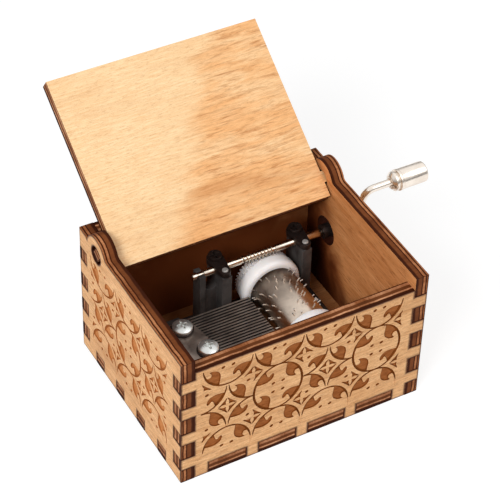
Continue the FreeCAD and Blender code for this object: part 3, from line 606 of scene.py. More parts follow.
@dataclass(frozen=True)
class Metal(Finish):
    """Metal with fine working marks and a little uneven tarnish."""

    name: str
    colour: Colour
    tarnish: Colour
    rough: float
    marks: Triple = (900.0, 900.0, 900.0)  # how fine they are along each axis
    mark_height: float = 0.004             # in mm
    spread: float = 0.12                   # of the roughness
    metallic: float = 1.0

    def write(self, pen: Pen) -> None:
        """Write the finish's nodes.

        Args:
            pen: the new material's pen.
        """
        marks = pen.speckle(self.marks, 3.0, 0.6)
        clouds = pen.speckle((260.0, 260.0, 260.0), 3.0, 0.6, 0.3)
        colour = pen.mix(pen.rise(clouds, 0.38, 0.72, 0.8), self.colour, self.tarnish)
        low = max(self.rough - self.spread / 2, 0.03)
        pen.set(Base_Color=colour, Metallic=self.metallic,
                Roughness=pen.ramp(marks, (0.3, low), (0.7, self.rough + self.spread / 2)))
        pen.bump(marks, self.mark_height, 0.6)


@dataclass(frozen=True)
class DrumPlate(Finish):
    """Bright plated drum, turned round its axis, with random darker tarnish and a painted shade that
    darkens it towards the wheel.
    """

    name: str
    colour: Colour
    grease: Colour
    rough: float
    clean_to: float     # place along the drum in metres where the painted shade starts
    greasy_from: float  # and where the painted shade covers all

    def write(self, pen: Pen) -> None:
        """Write the finish's nodes.

        Args:
            pen: the new material's pen.
        """
        turned = pen.speckle((120.0, 1500.0, 120.0), 2.0, 0.5)
        clouds = pen.speckle((260.0, 260.0, 260.0), 3.0, 0.6, 0.4)
        along = pen.axis(pen.place(None), "Y")
        share = pen.over(pen.minus(along, self.clean_to), self.greasy_from - self.clean_to)
        share = pen.plus(share, pen.times(pen.minus(clouds, 0.5), 0.5))
        worn = pen.mix(pen.rise(clouds, 0.45, 0.75, 0.35), self.colour, self.grease)
        round_axis = pen.add("Tangent", direction_type="RADIAL", axis="Y")
        # the base colour darkens towards the wheel: painted shade
        pen.set(Base_Color=pen.mix(pen.rise(share, 0.0, 1.0, smooth=True), worn, self.grease),
                Metallic=1.0,
                Roughness=pen.ramp(turned, (0.3, self.rough - 0.04), (0.7, self.rough + 0.05)),
                Anisotropic=0.85, Anisotropic_Rotation=0.25, Tangent=round_axis.outputs["Tangent"])
        pen.bump(turned, 0.001, 0.4)


@dataclass(frozen=True)
class Acetal(Finish):
    """White moulded acetal with a soft sheen."""

    name: str
    colour: Colour
    shade: Colour

    def write(self, pen: Pen) -> None:
        """Write the finish's nodes.

        Args:
            pen: the new material's pen.
        """
        clouds = pen.speckle((300.0, 300.0, 300.0), 2.0)
        pen.set(Base_Color=pen.mix(pen.rise(clouds, 0.4, 0.8), self.colour, self.shade),
                Roughness=pen.ramp(clouds, (0.3, 0.36), (0.7, 0.46)), Subsurface_Weight=0.5,
                Subsurface_Radius=(0.002, 0.0018, 0.0016), Subsurface_Scale=1.0)
        pen.bump(pen.speckle((2500.0, 2500.0, 2500.0)), 0.006, 0.4)


class Ply(Enum):
    """Which finish a face of a board takes, by material slot."""

    FACE = 0
    EDGE = 1
    LINE = 2
    FILL = 3
    INSIDE = 4


@dataclass(frozen=True)
class BoardFinish:
    """The finishes of one board, in the order of Ply."""

    face: bpy.types.Material
    edge: bpy.types.Material
    line: bpy.types.Material
    fill: bpy.types.Material
    inside: bpy.types.Material


# --- engraving ------------------------------------------------------------------------
class Layer(Enum):
    """What an outline in a board's plan stands for."""

    BOARD = 0
    HOLE = 1
    BURN = 2      # inner end of the dark burn beside a cut
    CALM = 3      # where the burn has faded
    LINE = 4      # engraved line
    LINE_BED = 5  # its flat bottom
    FIGURE = 6    # engraved leaf, dot or bracket
    FIGURE_BED = 7


@dataclass
class Trellis:
    """A vine trellis: ovals and four-pointed cells, each quarter with a leaf and a dot."""

    columns: list[float]                    # middle of each column
    rows: list[tuple[bool, ...]]            # which cells hold an oval, from the lowest row up
    low: float = 20.2                       # middle of the lowest row
    half_width: float = 6.3                 # of an oval
    half_height: float = 7.0
    pitch: float = 13.1                     # from column to column
    side_line: float = 0.31                 # half the line's width at an oval's sides
    end_line: float = 0.2                   # and at its top and foot
    free_end: float = 6.0                   # degrees by which a free line stops short
    overlap: float = 2.0                    # degrees by which a line runs on into the next quarter
    thin_end: float = 0.35                  # share of its width that a free line ends with
    taper: float = 2.2                      # how soon it has its full width
    thinnest: float = 0.02                  # half width that a line's flat bottom keeps
    close: float = 0.2                      # two centres nearer than this are one
    bed: float = 0.1                        # slope beside a line's or a figure's flat bottom
    figure_rim: float = 0.15
    dot: tuple[float, float] = (0.5, 0.38)
    dot_turn: float = 25.0
    dot_place: tuple[float, float] = (1.27, 1.38)
    pointed_leaf: Stretches = (((-5.9, 2.5), (-5.45, 3.55), (-4.8, 4.5)),
                               ((-3.35, 5.8), (-3.1, 4.85), (-2.8, 4.15), (-2.4, 4.02), (-2.06, 4.44),
                                (-1.54, 4.8), (-1.2, 4.33), (-1.42, 3.4), (-2.06, 2.67), (-3.3, 2.22),
                                (-4.77, 2.3)))
    hooked_leaf: Stretches = (((-4.8, -1.55), (-4.0, -1.46), (-2.95, -1.85), (-2.1, -2.75),
                               (-1.85, -4.0), (-2.0, -5.0)),
                              ((-2.2, -6.5), (-4.2, -5.22)),
                              ((-5.95, -2.6), (-5.2, -3.25), (-4.55, -3.2), (-4.2, -2.7), (-4.3, -2.1)))
    bracket: Stretches = (((0.06, 2.5),), ((0.1, 1.95), (0.42, 1.25)), ((0.36, 0.36), (1.25, 0.42)),
                          ((1.95, 0.1),), ((2.5, 0.06), (1.24, 1.24)))

    def quarters(self) -> list[tuple[float, float, int, int, bool]]:
        """The quarter ovals of the whole trellis.

        Returns:
            (centre x, centre y, side, rise, free) for each: the side and the rise say which
            quarter of the oval it is, and free whether its end at the oval's side is open.
        """
        found = []
        rise = 2 * self.half_height
        top = self.low + len(self.rows) * rise
        for x in self.columns:
            for side in (-1, 1):
                found.append((x, top, side, -1, True))
                found.append((x, self.low - rise, side, 1, True))
        for x, y, oval in self.cells():
            for side in (-1, 1):
                for up in (-1, 1):
                    if oval:
                        found.append((x, y, side, up, False))
                    else:
                        found.append((x + side * self.pitch / 2, y + up * self.half_height,
                                      -side, -up, True))
        return found

    def cells(self) -> list[tuple[float, float, bool]]:
        """(x, y, oval) of every cell."""
        return [(x, self.low + number * 2 * self.half_height, oval)
                for number, row in enumerate(self.rows) for x, oval in zip(self.columns, row)]

    def line(self, quarter: tuple[float, float, int, int, bool], slope: float) -> list[Point]:
        """A quarter oval's line as a closed ribbon.

        Args:
            quarter: the quarter oval, as quarters gives it.
            slope: how much narrower the ribbon is at each side.

        Returns:
            The ribbon's outline.
        """
        x, y, side, rise, free = quarter
        start = self.overlap if free and slope else -self.overlap
        end = 90.0 - self.free_end if free else 90.0 + self.overlap
        steps = 12
        outer, inner = [], []
        for step in range(steps + 1):
            share = step / steps
            angle = math.radians(start + (end - start) * share)
            half = self.end_line + (self.side_line - self.end_line) * math.sin(angle)
            if free:
                half *= min(1.0, self.thin_end + self.taper * (1 - share))
            half = max(half - slope, self.thinnest)
            sine, cosine = math.sin(angle), math.cos(angle)
            across = Vector((sine / self.half_width, cosine / self.half_height)).normalized() * half
            point = Vector((self.half_width * sine, self.half_height * cosine))
            outer.append(((point + across).x * side + x, (point + across).y * rise + y))
            inner.append(((point - across).x * side + x, (point - across).y * rise + y))
        return outer + inner[::-1]

    def leaf(self, quarter: tuple[float, float, int, int, bool]) -> list[Point]:
        """The leaf that grows from a quarter oval's line.

        Args:
            quarter: the quarter oval, as quarters gives it.

        Returns:
            The leaf's outline.
        """
        x, y, side, rise, _ = quarter
        shape = self.pointed_leaf if side != rise else self.hooked_leaf
        turn = 1 if side < 0 else -1
        return [(px * turn + x, py * turn + y) for px, py in smooth_loop(shape)]

    def dot_outline(self, quarter: tuple[float, float, int, int, bool]) -> list[Point]:
        """The dot near the middle of a quarter oval.

        Args:
            quarter: the quarter oval, as quarters gives it.

        Returns:
            The dot's outline.
        """
        x, y, side, rise, _ = quarter
        turn = math.radians(self.dot_turn)
        outline = []
        for px, py in circle((0, 0), 1.0, 12):
            px, py = px * self.dot[0], py * self.dot[1]
            outline.append((x + side * self.dot_place[0] + px * math.cos(turn) - py * math.sin(turn),
                            y + rise * self.dot_place[1] + px * math.sin(turn) + py * math.cos(turn)))
        return outline

    def brackets(self) -> list[list[Point]]:
        """The brackets that make the diamonds between the ovals.

        Returns:
            One outline for each bracket.
        """
        quarters = [quarter[:4] for quarter in self.quarters()]
        left = self.columns[0] - self.pitch / 2
        right = self.columns[-1] + self.pitch / 2
        centres = {(round(x, 2), round(y, 2)) for x, y, oval in self.cells() if not oval}
        centres |= {(round(x + side * self.pitch / 2, 2), round(y + up * self.half_height, 2))
                    for x, y, _ in self.cells() for side in (-1, 1) for up in (-1, 1)}
        outlines = []
        for x, y in sorted(centres):
            for side in (-1, 1):
                for rise in (-1, 1):
                    taken = any(abs(qx - x) < self.close and abs(qy - y) < self.close
                                and (qside, qrise) == (side, rise) for qx, qy, qside, qrise in quarters)
                    outside = x + side < left or x + side > right
                    if not (taken or outside):
                        shape = smooth_loop(self.bracket)
                        outlines.append([(px * side + x, py * rise + y) for px, py in shape])
        return outlines

    def outlines(self) -> list[tuple[Layer, list[Point]]]:
        """Every closed outline of the engraving.

        Returns:
            (layer, outline) of each.
        """
        found = []
        for quarter in self.quarters():
            found.append((Layer.LINE, self.line(quarter, 0.0)))
            found.append((Layer.LINE_BED, self.line(quarter, self.bed)))
            for figure in (self.leaf(quarter), self.dot_outline(quarter)):
                found.append((Layer.FIGURE, figure))
                found.append((Layer.FIGURE_BED, inset(anticlockwise(figure), self.figure_rim)))
        for figure in self.brackets():
            found.append((Layer.FIGURE, figure))
            found.append((Layer.FIGURE_BED, inset(anticlockwise(figure), self.figure_rim)))
        return found


class Region:
    """The inside of one closed outline, where it winds anticlockwise."""

    def __init__(self, layer: Layer, loop: list[Point]) -> None:
        """Keep the outline and its extent.

        Args:
            layer: what the outline stands for.
            loop: its points.
        """
        self.layer = layer
        self.sides = list(pairwise(loop + loop[:1]))
        self.low = (min(x for x, _ in loop), min(y for _, y in loop))
        self.high = (max(x for x, _ in loop), max(y for _, y in loop))

    def holds(self, point: Vector) -> bool:
        """Whether the outline goes round a point anticlockwise.

        Args:
            point: the point to look at.

        Returns:
            True inside the outline.
        """
        if not (self.low[0] < point.x < self.high[0] and self.low[1] < point.y < self.high[1]):
            return False
        turns = 0
        for (x0, y0), (x1, y1) in self.sides:
            if (y0 > point.y) != (y1 > point.y):
                if x0 + (point.y - y0) * (x1 - x0) / (y1 - y0) > point.x:
                    turns += 1 if y1 > y0 else -1
        return turns > 0


def finish_of(kinds: set[Layer]) -> Ply:
    """Which finish a tile of a face takes.

    Args:
        kinds: the layers of the outlines that hold it.

    Returns:
        The finish's slot.
    """
    if kinds & {Layer.LINE, Layer.LINE_BED}:
        return Ply.LINE
    if Layer.FIGURE_BED in kinds:
        return Ply.FILL
    return Ply.LINE if Layer.FIGURE in kinds else Ply.FACE


def anticlockwise(loop: list[Point]) -> list[Point]:
    """A closed outline turned so that its inside is on its left."""
    area = sum(x0 * y1 - x1 * y0 for (x0, y0), (x1, y1) in pairwise(loop + loop[:1]))
    return loop if area > 0 else loop[::-1]


# --- boards ------------------------------------------------------------------------------
@dataclass
class Board:
    """One laser-cut plywood piece, engraved on its outer face.

    Its plan is drawn from outside: x to the right along the grain, y up, and its thickness
    runs from 0 at the inner face to the outer face.
    """

    name: str
    outline: list[Point]
    place: Matrix
    finish: BoardFinish
    body: str
    thickness: float
    holes: list[list[Point]] = field(default_factory=list)
    engraving: Trellis | None = None
    burn: float = 0.2          # width of the dark burn beside a cut
    fade: float = 0.65         # where its brown halo ends
    arris: float = 0.06        # how much the cut's corner is eaten away
    depth: float = 0.28        # of the engraving
    end_border: float = 0.3    # width of the black border on a finger's end
    end_sink: float = 0.1      # how far the end lies within it
    rim_ends: bool = False     # whether its upper and lower cut faces are fingers' ends too
    inside_burn: float = 0.0   # how much of the burn reaches the inner face
    hole_char: float = 0.7     # how black a hole's wall is
    burnt_past: float = 1000.0  # what lies further out along the grain is burnt all over
    shift: tuple[float, float] = (0.0, 0.0)  # moves the wood's pattern

    def plan(self) -> tuple[list[Point], list[Layer], list[list[int]]]:
        """All outlines of the board's plan.

        Returns:
            Every point, each outline's layer, and each outline as numbers of its points.
        """
        cuts = [(Layer.BOARD, anticlockwise(self.outline))]
        cuts += [(Layer.HOLE, anticlockwise(hole)[::-1]) for hole in self.holes]
        drawn = list(cuts)
        for _, loop in cuts:
            drawn.append((Layer.BURN, inset(loop, self.burn)))
            drawn.append((Layer.CALM, inset(loop, self.fade)))
        if self.engraving:
            drawn += self.engraving.outlines()
        points, layers, loops = [], [], []
        for layer, loop in drawn:
            loops.append(list(range(len(points), len(points) + len(loop))))
            layers.append(layer)
            points += anticlockwise(loop)
        return points, layers, loops

    def carved_face(self) -> bpy.types.Mesh:
        """The outer face, with the engraving sunk and the cut corners eased.

        Returns:
            Its open mesh, with the scorch beside its cuts.
        """
        merge = 1e-5
        points, layers, loops = self.plan()
        number_layer = [layer for layer, loop in zip(layers, loops) for _ in loop]
        edges = [(start, end) for loop in loops for start, end in pairwise(loop + loop[:1])]
        found, _, tiles, sources, _, _ = delaunay_2d_cdt(
            [Vector(point) for point in points], edges, [], 0, merge, True)
        burnt = {Layer.BOARD: 1.0, Layer.HOLE: 1.0, Layer.BURN: 0.75}
        heat = [max((burnt.get(number_layer[number], 0.0) for number in source), default=0.0)
                for source in sources]
        on_cut = [any(number_layer[number] in (Layer.BOARD, Layer.HOLE) for number in source)
                  for source in sources]
        regions = [Region(layer, [points[number] for number in loop])
                   for layer, loop in zip(layers, loops)]
        kept, sunk = [], set()
        for tile in tiles:
            middle = sum((found[number] for number in tile), Vector((0, 0))) / 3
            kinds = {region.layer for region in regions if region.holds(middle)}
            if Layer.BOARD not in kinds or Layer.HOLE in kinds:
                continue
            if kinds & {Layer.LINE_BED, Layer.FIGURE_BED}:
                sunk.update(tile)
            kept.append((tile, finish_of(kinds)))
        build = bmesh.new()
        scorch = build.verts.layers.float.new(SCORCH)
        made = []
        for number, place in enumerate(found):
            drop = self.depth if number in sunk else self.arris if on_cut[number] else 0.0
            vertex = build.verts.new((place[0], place[1], self.thickness - drop))
            vertex[scorch] = heat[number]
            made.append(vertex)
        for tile, slot in kept:
            face = build.faces.new([made[number] for number in tile])
            face.material_index = slot.value
        loose = [vertex for vertex in build.verts if not vertex.link_faces]
        bmesh.ops.delete(build, geom=loose, context="VERTS")
        mesh = bpy.data.meshes.new(self.name)
        build.to_mesh(mesh)
        build.free()
        return mesh

    def build(self) -> bpy.types.Object:
        """The whole board: its carved face drawn back to a flat inner face.

        Returns:
            The finished object, in its place in the frame.
        """
        obj = linked(self.name, self.carved_face())
        mesh = obj.data
        bpy.ops.object.mode_set(mode="EDIT")
        bpy.ops.mesh.select_all(action="SELECT")
        bpy.ops.mesh.extrude_region_move(TRANSFORM_OT_translate={"value": (0, 0, -self.thickness)})
        bpy.ops.transform.resize(value=(1, 1, 0), center_override=(0, 0, 0))
        bpy.ops.mesh.select_all(action="SELECT")
        bpy.ops.mesh.normals_make_consistent(inside=False)
        bpy.ops.object.mode_set(mode="OBJECT")
        half = self.thickness / 2
        for face in mesh.polygons:
            heights = [mesh.vertices[number].co.z for number in face.vertices]
            if max(heights) < half:
                face.material_index = Ply.INSIDE.value
            elif min(heights) < half:
                face.material_index = Ply.EDGE.value
        self.border_ends(obj)
        board = mesh.attributes.new(BOARD, "FLOAT_VECTOR", "POINT")
        scorch = mesh.attributes[SCORCH]
        for vertex, place, heat in zip(mesh.vertices, board.data, scorch.data):
            place.vector = vertex.co + Vector((*self.shift, 0.0))
            if abs(vertex.co.x) > self.burnt_past:
                heat.value = 1.0
            elif vertex.co.z < half:
                heat.value *= self.inside_burn
        for finish in fields(self.finish):
            mesh.materials.append(getattr(self.finish, finish.name))
        mesh.transform(self.place)
        return obj

    def border_ends(self, obj: bpy.types.Object) -> None:
        """Sink the fingers' ends a little within a black border, and blacken the holes' walls.

        Args:
            obj: the board, still in its plan.
        """
        mesh = obj.data
        square = 0.99  # part of a normal along an axis from which a face looks that way
        near = 0.01    # how far from the outermost a face may lie
        wide = max(abs(vertex.co.x) for vertex in mesh.vertices)
        tall = max(vertex.co.y for vertex in mesh.vertices)
        deep = min(vertex.co.y for vertex in mesh.vertices)

        def is_end(face: bpy.types.MeshPolygon) -> bool:
            """Whether a cut face is the end of a finger.

            Args:
                face: the face to look at.

            Returns:
                True at a finger's end.
            """
            if face.material_index != Ply.EDGE.value:
                return False
            x, y, _ = face.center
            at_side = abs(face.normal.x) > square and abs(x) > wide - near
            at_rim = abs(face.normal.y) > square and (y > tall - near or y < deep + near)
            return at_side or (self.rim_ends and at_rim)

        ends = [is_end(face) for face in mesh.polygons]
        before = len(mesh.vertices)
        activate(obj)
        bpy.ops.object.mode_set(mode="EDIT")
        bpy.ops.mesh.select_mode(type="FACE")
        bpy.ops.object.mode_set(mode="OBJECT")
        mesh.polygons.foreach_set("select", ends)
        bpy.ops.object.mode_set(mode="EDIT")
        bpy.ops.mesh.inset(thickness=self.end_border, depth=-self.end_sink, use_individual=True)
        bpy.ops.object.mode_set(mode="OBJECT")
        char = mesh.attributes.new(CHAR, "FLOAT", "CORNER")
        spots = [sum((Vector(point) for point in hole), Vector((0, 0))) / len(hole)
                 for hole in self.holes]
        reaches = [(Vector(hole[0]) - spot).length + near for hole, spot in zip(self.holes, spots)]
        for face in mesh.polygons:
            if face.material_index != Ply.EDGE.value:
                continue
            border = any(number >= before for number in face.vertices)
            in_hole = any((face.center.xy - spot).length < reach for spot, reach in zip(spots, reaches))
            for corner in face.loop_indices:
                on_outline = mesh.loops[corner].vertex_index < before
                char.data[corner].value = self.hole_char if in_hole else float(border and on_outline)


def standing(right: Vector, up: Vector, outward: Vector, origin: Vector) -> Matrix:
    """Matrix from a board's plan in millimetres to the frame in metres.

    Args:
        right, up, outward: the plan's axes in the frame.
        origin: the plan's origin on the inner face, in millimetres.

    Returns:
        The matrix.
    """
    turn = Matrix((right, up, outward)).transposed().to_4x4()
    return Matrix.Scale(MM, 4) @ Matrix.Translation(origin) @ turn


def notched(spans: list[tuple[float, float]], edge: float, far: float,
            upright: bool = False) -> list[Point]:
    """Outline points of a row of tabs or slots.

    Args:
        spans: (start, end) of each along the edge, in the order that the outline passes them.
        edge: where the edge lies across its own direction.
        far: where the tabs end or the slots stop.
        upright: whether the edge runs upright instead of level.

    Returns:
        Four points for each tab or slot.
    """
    points = []
    for start, end in spans:
        points += [(start, edge), (start, far), (end, far), (end, edge)]
    return [(across, along) for along, across in points] if upright else points


def backwards(spans: list[tuple[float, float]]) -> list[tuple[float, float]]:
    """The same spans for an outline that comes back along the edge."""
    return [(end, start) for start, end in reversed(spans)]


# --- case -----------------------------------------------------------------------------------
@dataclass
class Case:
    """The plywood case: five finger-jointed panels and the lid on its square pins."""

    face: PlyFace = PlyFace("birch_face", srgb(240, 192, 140), srgb(212, 156, 102), srgb(146, 90, 46),
                            pores=0.55, sanding=0.42)
    heart: Heartwood = Heartwood((-4.0, 5.0), middle=500.0, lean=0.55, wave=9.0, rear=509.0,
                                 tone=srgb(248, 193, 135), streak=srgb(233, 170, 110),
                                 brown=srgb(192, 126, 72), band=(511.1, 2.6, 0.11))
    lid_face: PlyFace = PlyFace("lid_face", srgb(252, 219, 172), srgb(243, 199, 147), srgb(192, 126, 72),
                                figure=0.2, pores=0.42, sanding=0.2, heart=heart)
    # The inner faces darken towards the rear and low down: partly smoke stain, partly painted shade of
    # the box's inside; the side's soot is partly painted shade.
    inside: StainedShadedPly = StainedShadedPly("stained_shaded_birch", srgb(220, 156, 102), srgb(186, 118, 66),
                                  srgb(114, 58, 27))
    side_inside: StainedShadedPly = StainedShadedPly("stained_shaded_side", srgb(216, 152, 98), srgb(184, 116, 64),
                                       srgb(114, 58, 27), (0.0098, 0.019), (75.0, 35.0), soot=1.0)
    floor: StainedShadedPly = StainedShadedPly("stained_shaded_floor", srgb(224, 160, 106), srgb(188, 120, 68),
                                 srgb(122, 64, 30), (0.018, 0.004), (24.0, 20.0))
    cut: PlyEdge = PlyEdge("burnt_edge", srgb(46, 15, 3), srgb(132, 76, 41), srgb(222, 164, 122),
                           ((0.0, 0.05), (0.06, 0.1), (0.1, 0.64), (0.28, 0.6), (0.34, 0.2),
                            (0.54, 0.22), (0.6, 0.78), (0.68, 0.72), (0.73, 0.04), (1.0, 0.0)))
    side_cut: PlyEdge = PlyEdge("burnt_side_edge", srgb(48, 16, 5), srgb(132, 75, 41),
                                srgb(218, 152, 104),
                                ((0.0, 0.02), (0.2, 0.04), (0.27, 0.3), (0.5, 0.28), (0.54, 0.0),
                                 (0.58, 0.0), (0.63, 0.66), (0.76, 0.58), (0.8, 0.0), (0.85, 0.0),
                                 (0.9, 0.58), (1.0, 0.5)))
    line: Engraved = Engraved("engraved_line", srgb(138, 77, 31), srgb(96, 48, 15))
    fill: Engraved = Engraved("engraved_fill", srgb(174, 108, 60), srgb(134, 76, 38))
    side_line: Engraved = Engraved("engraved_side_line", srgb(180, 112, 62), srgb(140, 80, 38))
    side_fill: Engraved = Engraved("engraved_side_fill", srgb(212, 144, 90), srgb(176, 110, 62))
    tab_low: float = 4.0
    tab_height: float = 3.6
    tab_pitch: float = 8.2
    tab_count: int = 4
    long_tab: float = 9.9
    long_pitch: float = 13.2
    short_tab: float = 3.85
    short_pitch: float = 10.8
    bottom_tabs: int = 4
    ear_radius: float = 5.0
    ear_fillet: float = 1.2
    ear_steps: int = 30
    fillet_steps: int = 8
    notch_rise: float = 1.2
    notch_width: float = 0.6
    pin_depth: float = 2.8
    pin_clearance: float = 0.08
    pin_burn: float = 0.05     # how far out from the lid's side its pins are burnt all over
    crank_hole: float = 3.9
    screw_hole: float = 2.02
    screw_spots: tuple = ((-15.6, 0.6), (21.0, 13.2), (21.6, -11.9))  # seen from above
    lid_tail: float = 5.0      # how far the lid reaches past its pins
    lid_gap: float = 0.55      # beside the lid
    pattern_middle: float = -0.55
    pattern_pitch: float = 13.1
    pattern_low: float = 20.2
    lid_pattern_low: float = -8.6
    end_shift: float = 90.0    # the wood's pattern is moved by these, so that no two boards match
    side_shift: Point = (200.0, 60.0)
    bottom_shift: Point = (0.0, 300.0)
    lid_shift: Point = (0.0, 500.0)

    def __post_init__(self) -> None:
        """Read the case's main sizes from the frame."""
        low, high = corners("left_panel")
        self.half_width = -low.x
        self.half_depth = high.y
        self.ply = high.x - low.x
        self.inner_width = self.half_width - self.ply
        self.inner_depth = self.half_depth - self.ply
        hinge = next(joint for joint in frame["joints"] if joint["child"] == "lid")
        self.hinge = Vector(hinge["pos_m"]) / MM
        self.lid_open = hinge["range_deg"][1]
        self.rim = self.hinge.z + self.ply / 2
        edge, line, fill = self.cut.material(), self.line.material(), self.fill.material()
        outside, lid_face = self.face.material(), self.lid_face.material()
        self.panel_finish = BoardFinish(outside, edge, line, fill, self.inside.material())
        self.side_finish = BoardFinish(outside, self.side_cut.material(), self.side_line.material(),
                                       self.side_fill.material(), self.side_inside.material())
        self.bottom_finish = BoardFinish(outside, edge, line, fill, self.floor.material())
        self.lid_finish = BoardFinish(outside, edge, line, fill, lid_face)

    def corner_tabs(self) -> list[tuple[float, float]]:
        """(low, high) of each tab on an upright edge."""
        lows = [self.tab_low + index * self.tab_pitch for index in range(self.tab_count)]
        return [(low, low + self.tab_height) for low in lows]

    def tab_spans(self, width: float, pitch: float) -> list[tuple[float, float]]:
        """The bottom panel's tabs along one wall.

        Args:
            width: a tab's width.
            pitch: from tab to tab.

        Returns:
            (start, end) of each tab.
        """
        middles = [(index - (self.bottom_tabs - 1) / 2) * pitch for index in range(self.bottom_tabs)]
        return [(middle - width / 2, middle + width / 2) for middle in middles]

    def end_outline(self, top: float) -> list[Point]:
        """Plan of the front or the back panel.

        Args:
            top: the panel's height.

        Returns:
            Its outline.
        """
        tabs = self.corner_tabs()
        return [(-self.inner_width, 0.0),
                *notched(self.tab_spans(self.long_tab, self.long_pitch), 0.0, self.ply),
                (self.inner_width, 0.0),
                *notched(tabs, self.inner_width, self.half_width, upright=True),
                (self.inner_width, top), (-self.inner_width, top),
                *notched(backwards(tabs), -self.inner_width, -self.half_width, upright=True)]

    def side_outline(self) -> list[Point]:
        """Plan of a side panel with the rear to the right.

        Returns:
            Its outline, with its ear and its slots.
        """
        tabs = self.corner_tabs()
        outline = [(-self.half_depth, 0.0),
                   *notched(self.tab_spans(self.short_tab, self.short_pitch), 0.0, self.ply),
                   (self.half_depth, 0.0),
                   *notched(tabs, self.half_depth, self.inner_depth, upright=True),
                   (self.half_depth, self.rim)]
        centre = (self.hinge.y, self.hinge.z)
        notch = math.degrees(math.asin(self.notch_rise / self.ear_radius))
        notch_y = centre[0] + self.ear_radius * math.cos(math.radians(notch))
        outline.append((notch_y + self.notch_width, self.rim))
        reach = self.ear_radius + self.ear_fillet
        rise = self.rim + self.ear_fillet - centre[1]
        fillet = (centre[0] - math.sqrt(reach ** 2 - rise ** 2), self.rim + self.ear_fillet)
        slant = math.degrees(math.asin(rise / reach))
        outline += round_stretch(centre, self.ear_radius, notch, 180 - slant, self.ear_steps)
        outline += round_stretch(fillet, self.ear_fillet, -slant, -90, self.fillet_steps)[1:]
        outline.append((-self.half_depth, self.rim))
        return outline + notched(backwards(tabs), -self.half_depth, -self.inner_depth, upright=True)

    def trellis(self, low: float, *rows: tuple[bool, ...]) -> Trellis:
        """The engraving of a panel.

        Args:
            low: middle of the lowest row.
            rows: which cells hold an oval, from the lowest row up.

        Returns:
            The trellis.
        """
        count = len(rows[0])
        start = self.pattern_middle - (count - 1) / 2 * self.pattern_pitch
        columns = [start + index * self.pattern_pitch for index in range(count)]
        return Trellis(columns=columns, rows=list(rows), low=low)

    def end_panel(self, node: str, outward: int) -> Board:
        """The front or the back panel.

        Args:
            node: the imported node.
            outward: -1 for the front, 1 for the back.

        Returns:
            The board.
        """
        top = corners(node)[1].z
        place = standing(Vector((-outward, 0, 0)), Vector((0, 0, 1)), Vector((0, outward, 0)),
                         Vector((0, outward * self.inner_depth, 0)))
        return Board(node + "_cut", self.end_outline(top), place, self.panel_finish, "box", self.ply,
                     engraving=self.trellis(self.pattern_low, (False, True, False, True)),
                     shift=(0.0, outward * self.end_shift))

    def side_panel(self, node: str, outward: int, extra: list[list[Point]]) -> Board:
        """The left or the right panel.

        Args:
            node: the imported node.
            outward: -1 for the left, 1 for the right.
            extra: its holes beside the one for the lid's pin.

        Returns:
            The board.
        """
        place = standing(Vector((0, outward, 0)), Vector((0, 0, 1)), Vector((outward, 0, 0)),
                         Vector((outward * self.inner_width, 0, 0)))
        pin_hole = math.hypot(self.ply, self.pin_depth) / 2 + self.pin_clearance
        holes = [circle((self.hinge.y, self.hinge.z), pin_hole)] + extra
        plan = [(x * outward, y) for x, y in self.side_outline()]
        holes = [[(x * outward, y) for x, y in hole] for hole in holes]
        return Board(node + "_cut", plan, place, self.side_finish, "box", self.ply, holes=holes,
                     engraving=self.trellis(self.pattern_low, (False, True, False)),
                     shift=(self.side_shift[0], outward * self.side_shift[1]))

    def bottom_panel(self) -> Board:
        """The bottom panel with its tabs and the screws' holes.

        Returns:
            The board.
        """
        long_tabs = self.tab_spans(self.long_tab, self.long_pitch)
        short_tabs = self.tab_spans(self.short_tab, self.short_pitch)
        outline = [(-self.inner_width, -self.inner_depth),
                   *notched(long_tabs, -self.inner_depth, -self.half_depth),
                   (self.inner_width, -self.inner_depth),
                   *notched(short_tabs, self.inner_width, self.half_width, upright=True),
                   (self.inner_width, self.inner_depth),
                   *notched(backwards(long_tabs), self.inner_depth, self.half_depth),
                   (-self.inner_width, self.inner_depth),
                   *notched(backwards(short_tabs), -self.inner_width, -self.half_width, upright=True)]
        place = standing(Vector((1, 0, 0)), Vector((0, -1, 0)), Vector((0, 0, -1)),
                         Vector((0, 0, self.ply)))
        holes = [circle((x, -y), self.screw_hole) for x, y in self.screw_spots]
        return Board("bottom_panel_cut", outline, place, self.bottom_finish, "box", self.ply,
                     holes=holes, rim_ends=True, shift=self.bottom_shift)

    def lid(self) -> Board:
        """The lid, drawn shut and turned open about its pins.

        Returns:
            The board.
        """
        low, high = corners("lid")
        half = self.inner_width - self.lid_gap
        rear = self.hinge.y + self.lid_tail
        pins = [(self.hinge.y - self.pin_depth / 2, self.hinge.y + self.pin_depth / 2)]
        outline = [(-half, -self.half_depth), (half, -self.half_depth),
                   *notched(pins, half, high.x, upright=True),
                   (half, rear), (-half, rear),
                   *notched(backwards(pins), -half, low.x, upright=True)]
        shut = standing(Vector((1, 0, 0)), Vector((0, 1, 0)), Vector((0, 0, 1)),
                        Vector((0, 0, self.rim - self.ply)))
        about = Matrix.Translation(self.hinge * MM)
        swing = about @ Matrix.Rotation(math.radians(-self.lid_open), 4, "X") @ about.inverted()
        return Board("lid_cut", outline, swing @ shut, self.lid_finish, "lid", self.ply,
                     engraving=self.trellis(self.lid_pattern_low, (False, True, False, True),
                                            (True, False, True, False)),
                     burnt_past=half + self.pin_burn, shift=self.lid_shift)

    def build(self) -> None:
        """Build every board of the case and the lid."""
        low, high = corners("worm_shaft")
        shaft = ((low.y + high.y) / 2, (low.z + high.z) / 2)
        crank_hole = circle(shaft, self.crank_hole)
        boards = {"front_panel": self.end_panel("front_panel", -1),
                  "back_panel": self.end_panel("back_panel", 1),
                  "left_panel": self.side_panel("left_panel", -1, []),
                  "right_panel": self.side_panel("right_panel", 1, [crank_hole]),
                  "bottom_panel": self.bottom_panel(),
                  "lid": self.lid()}
        for node, board in boards.items():
            hand_over(board.build(), board.body, node)


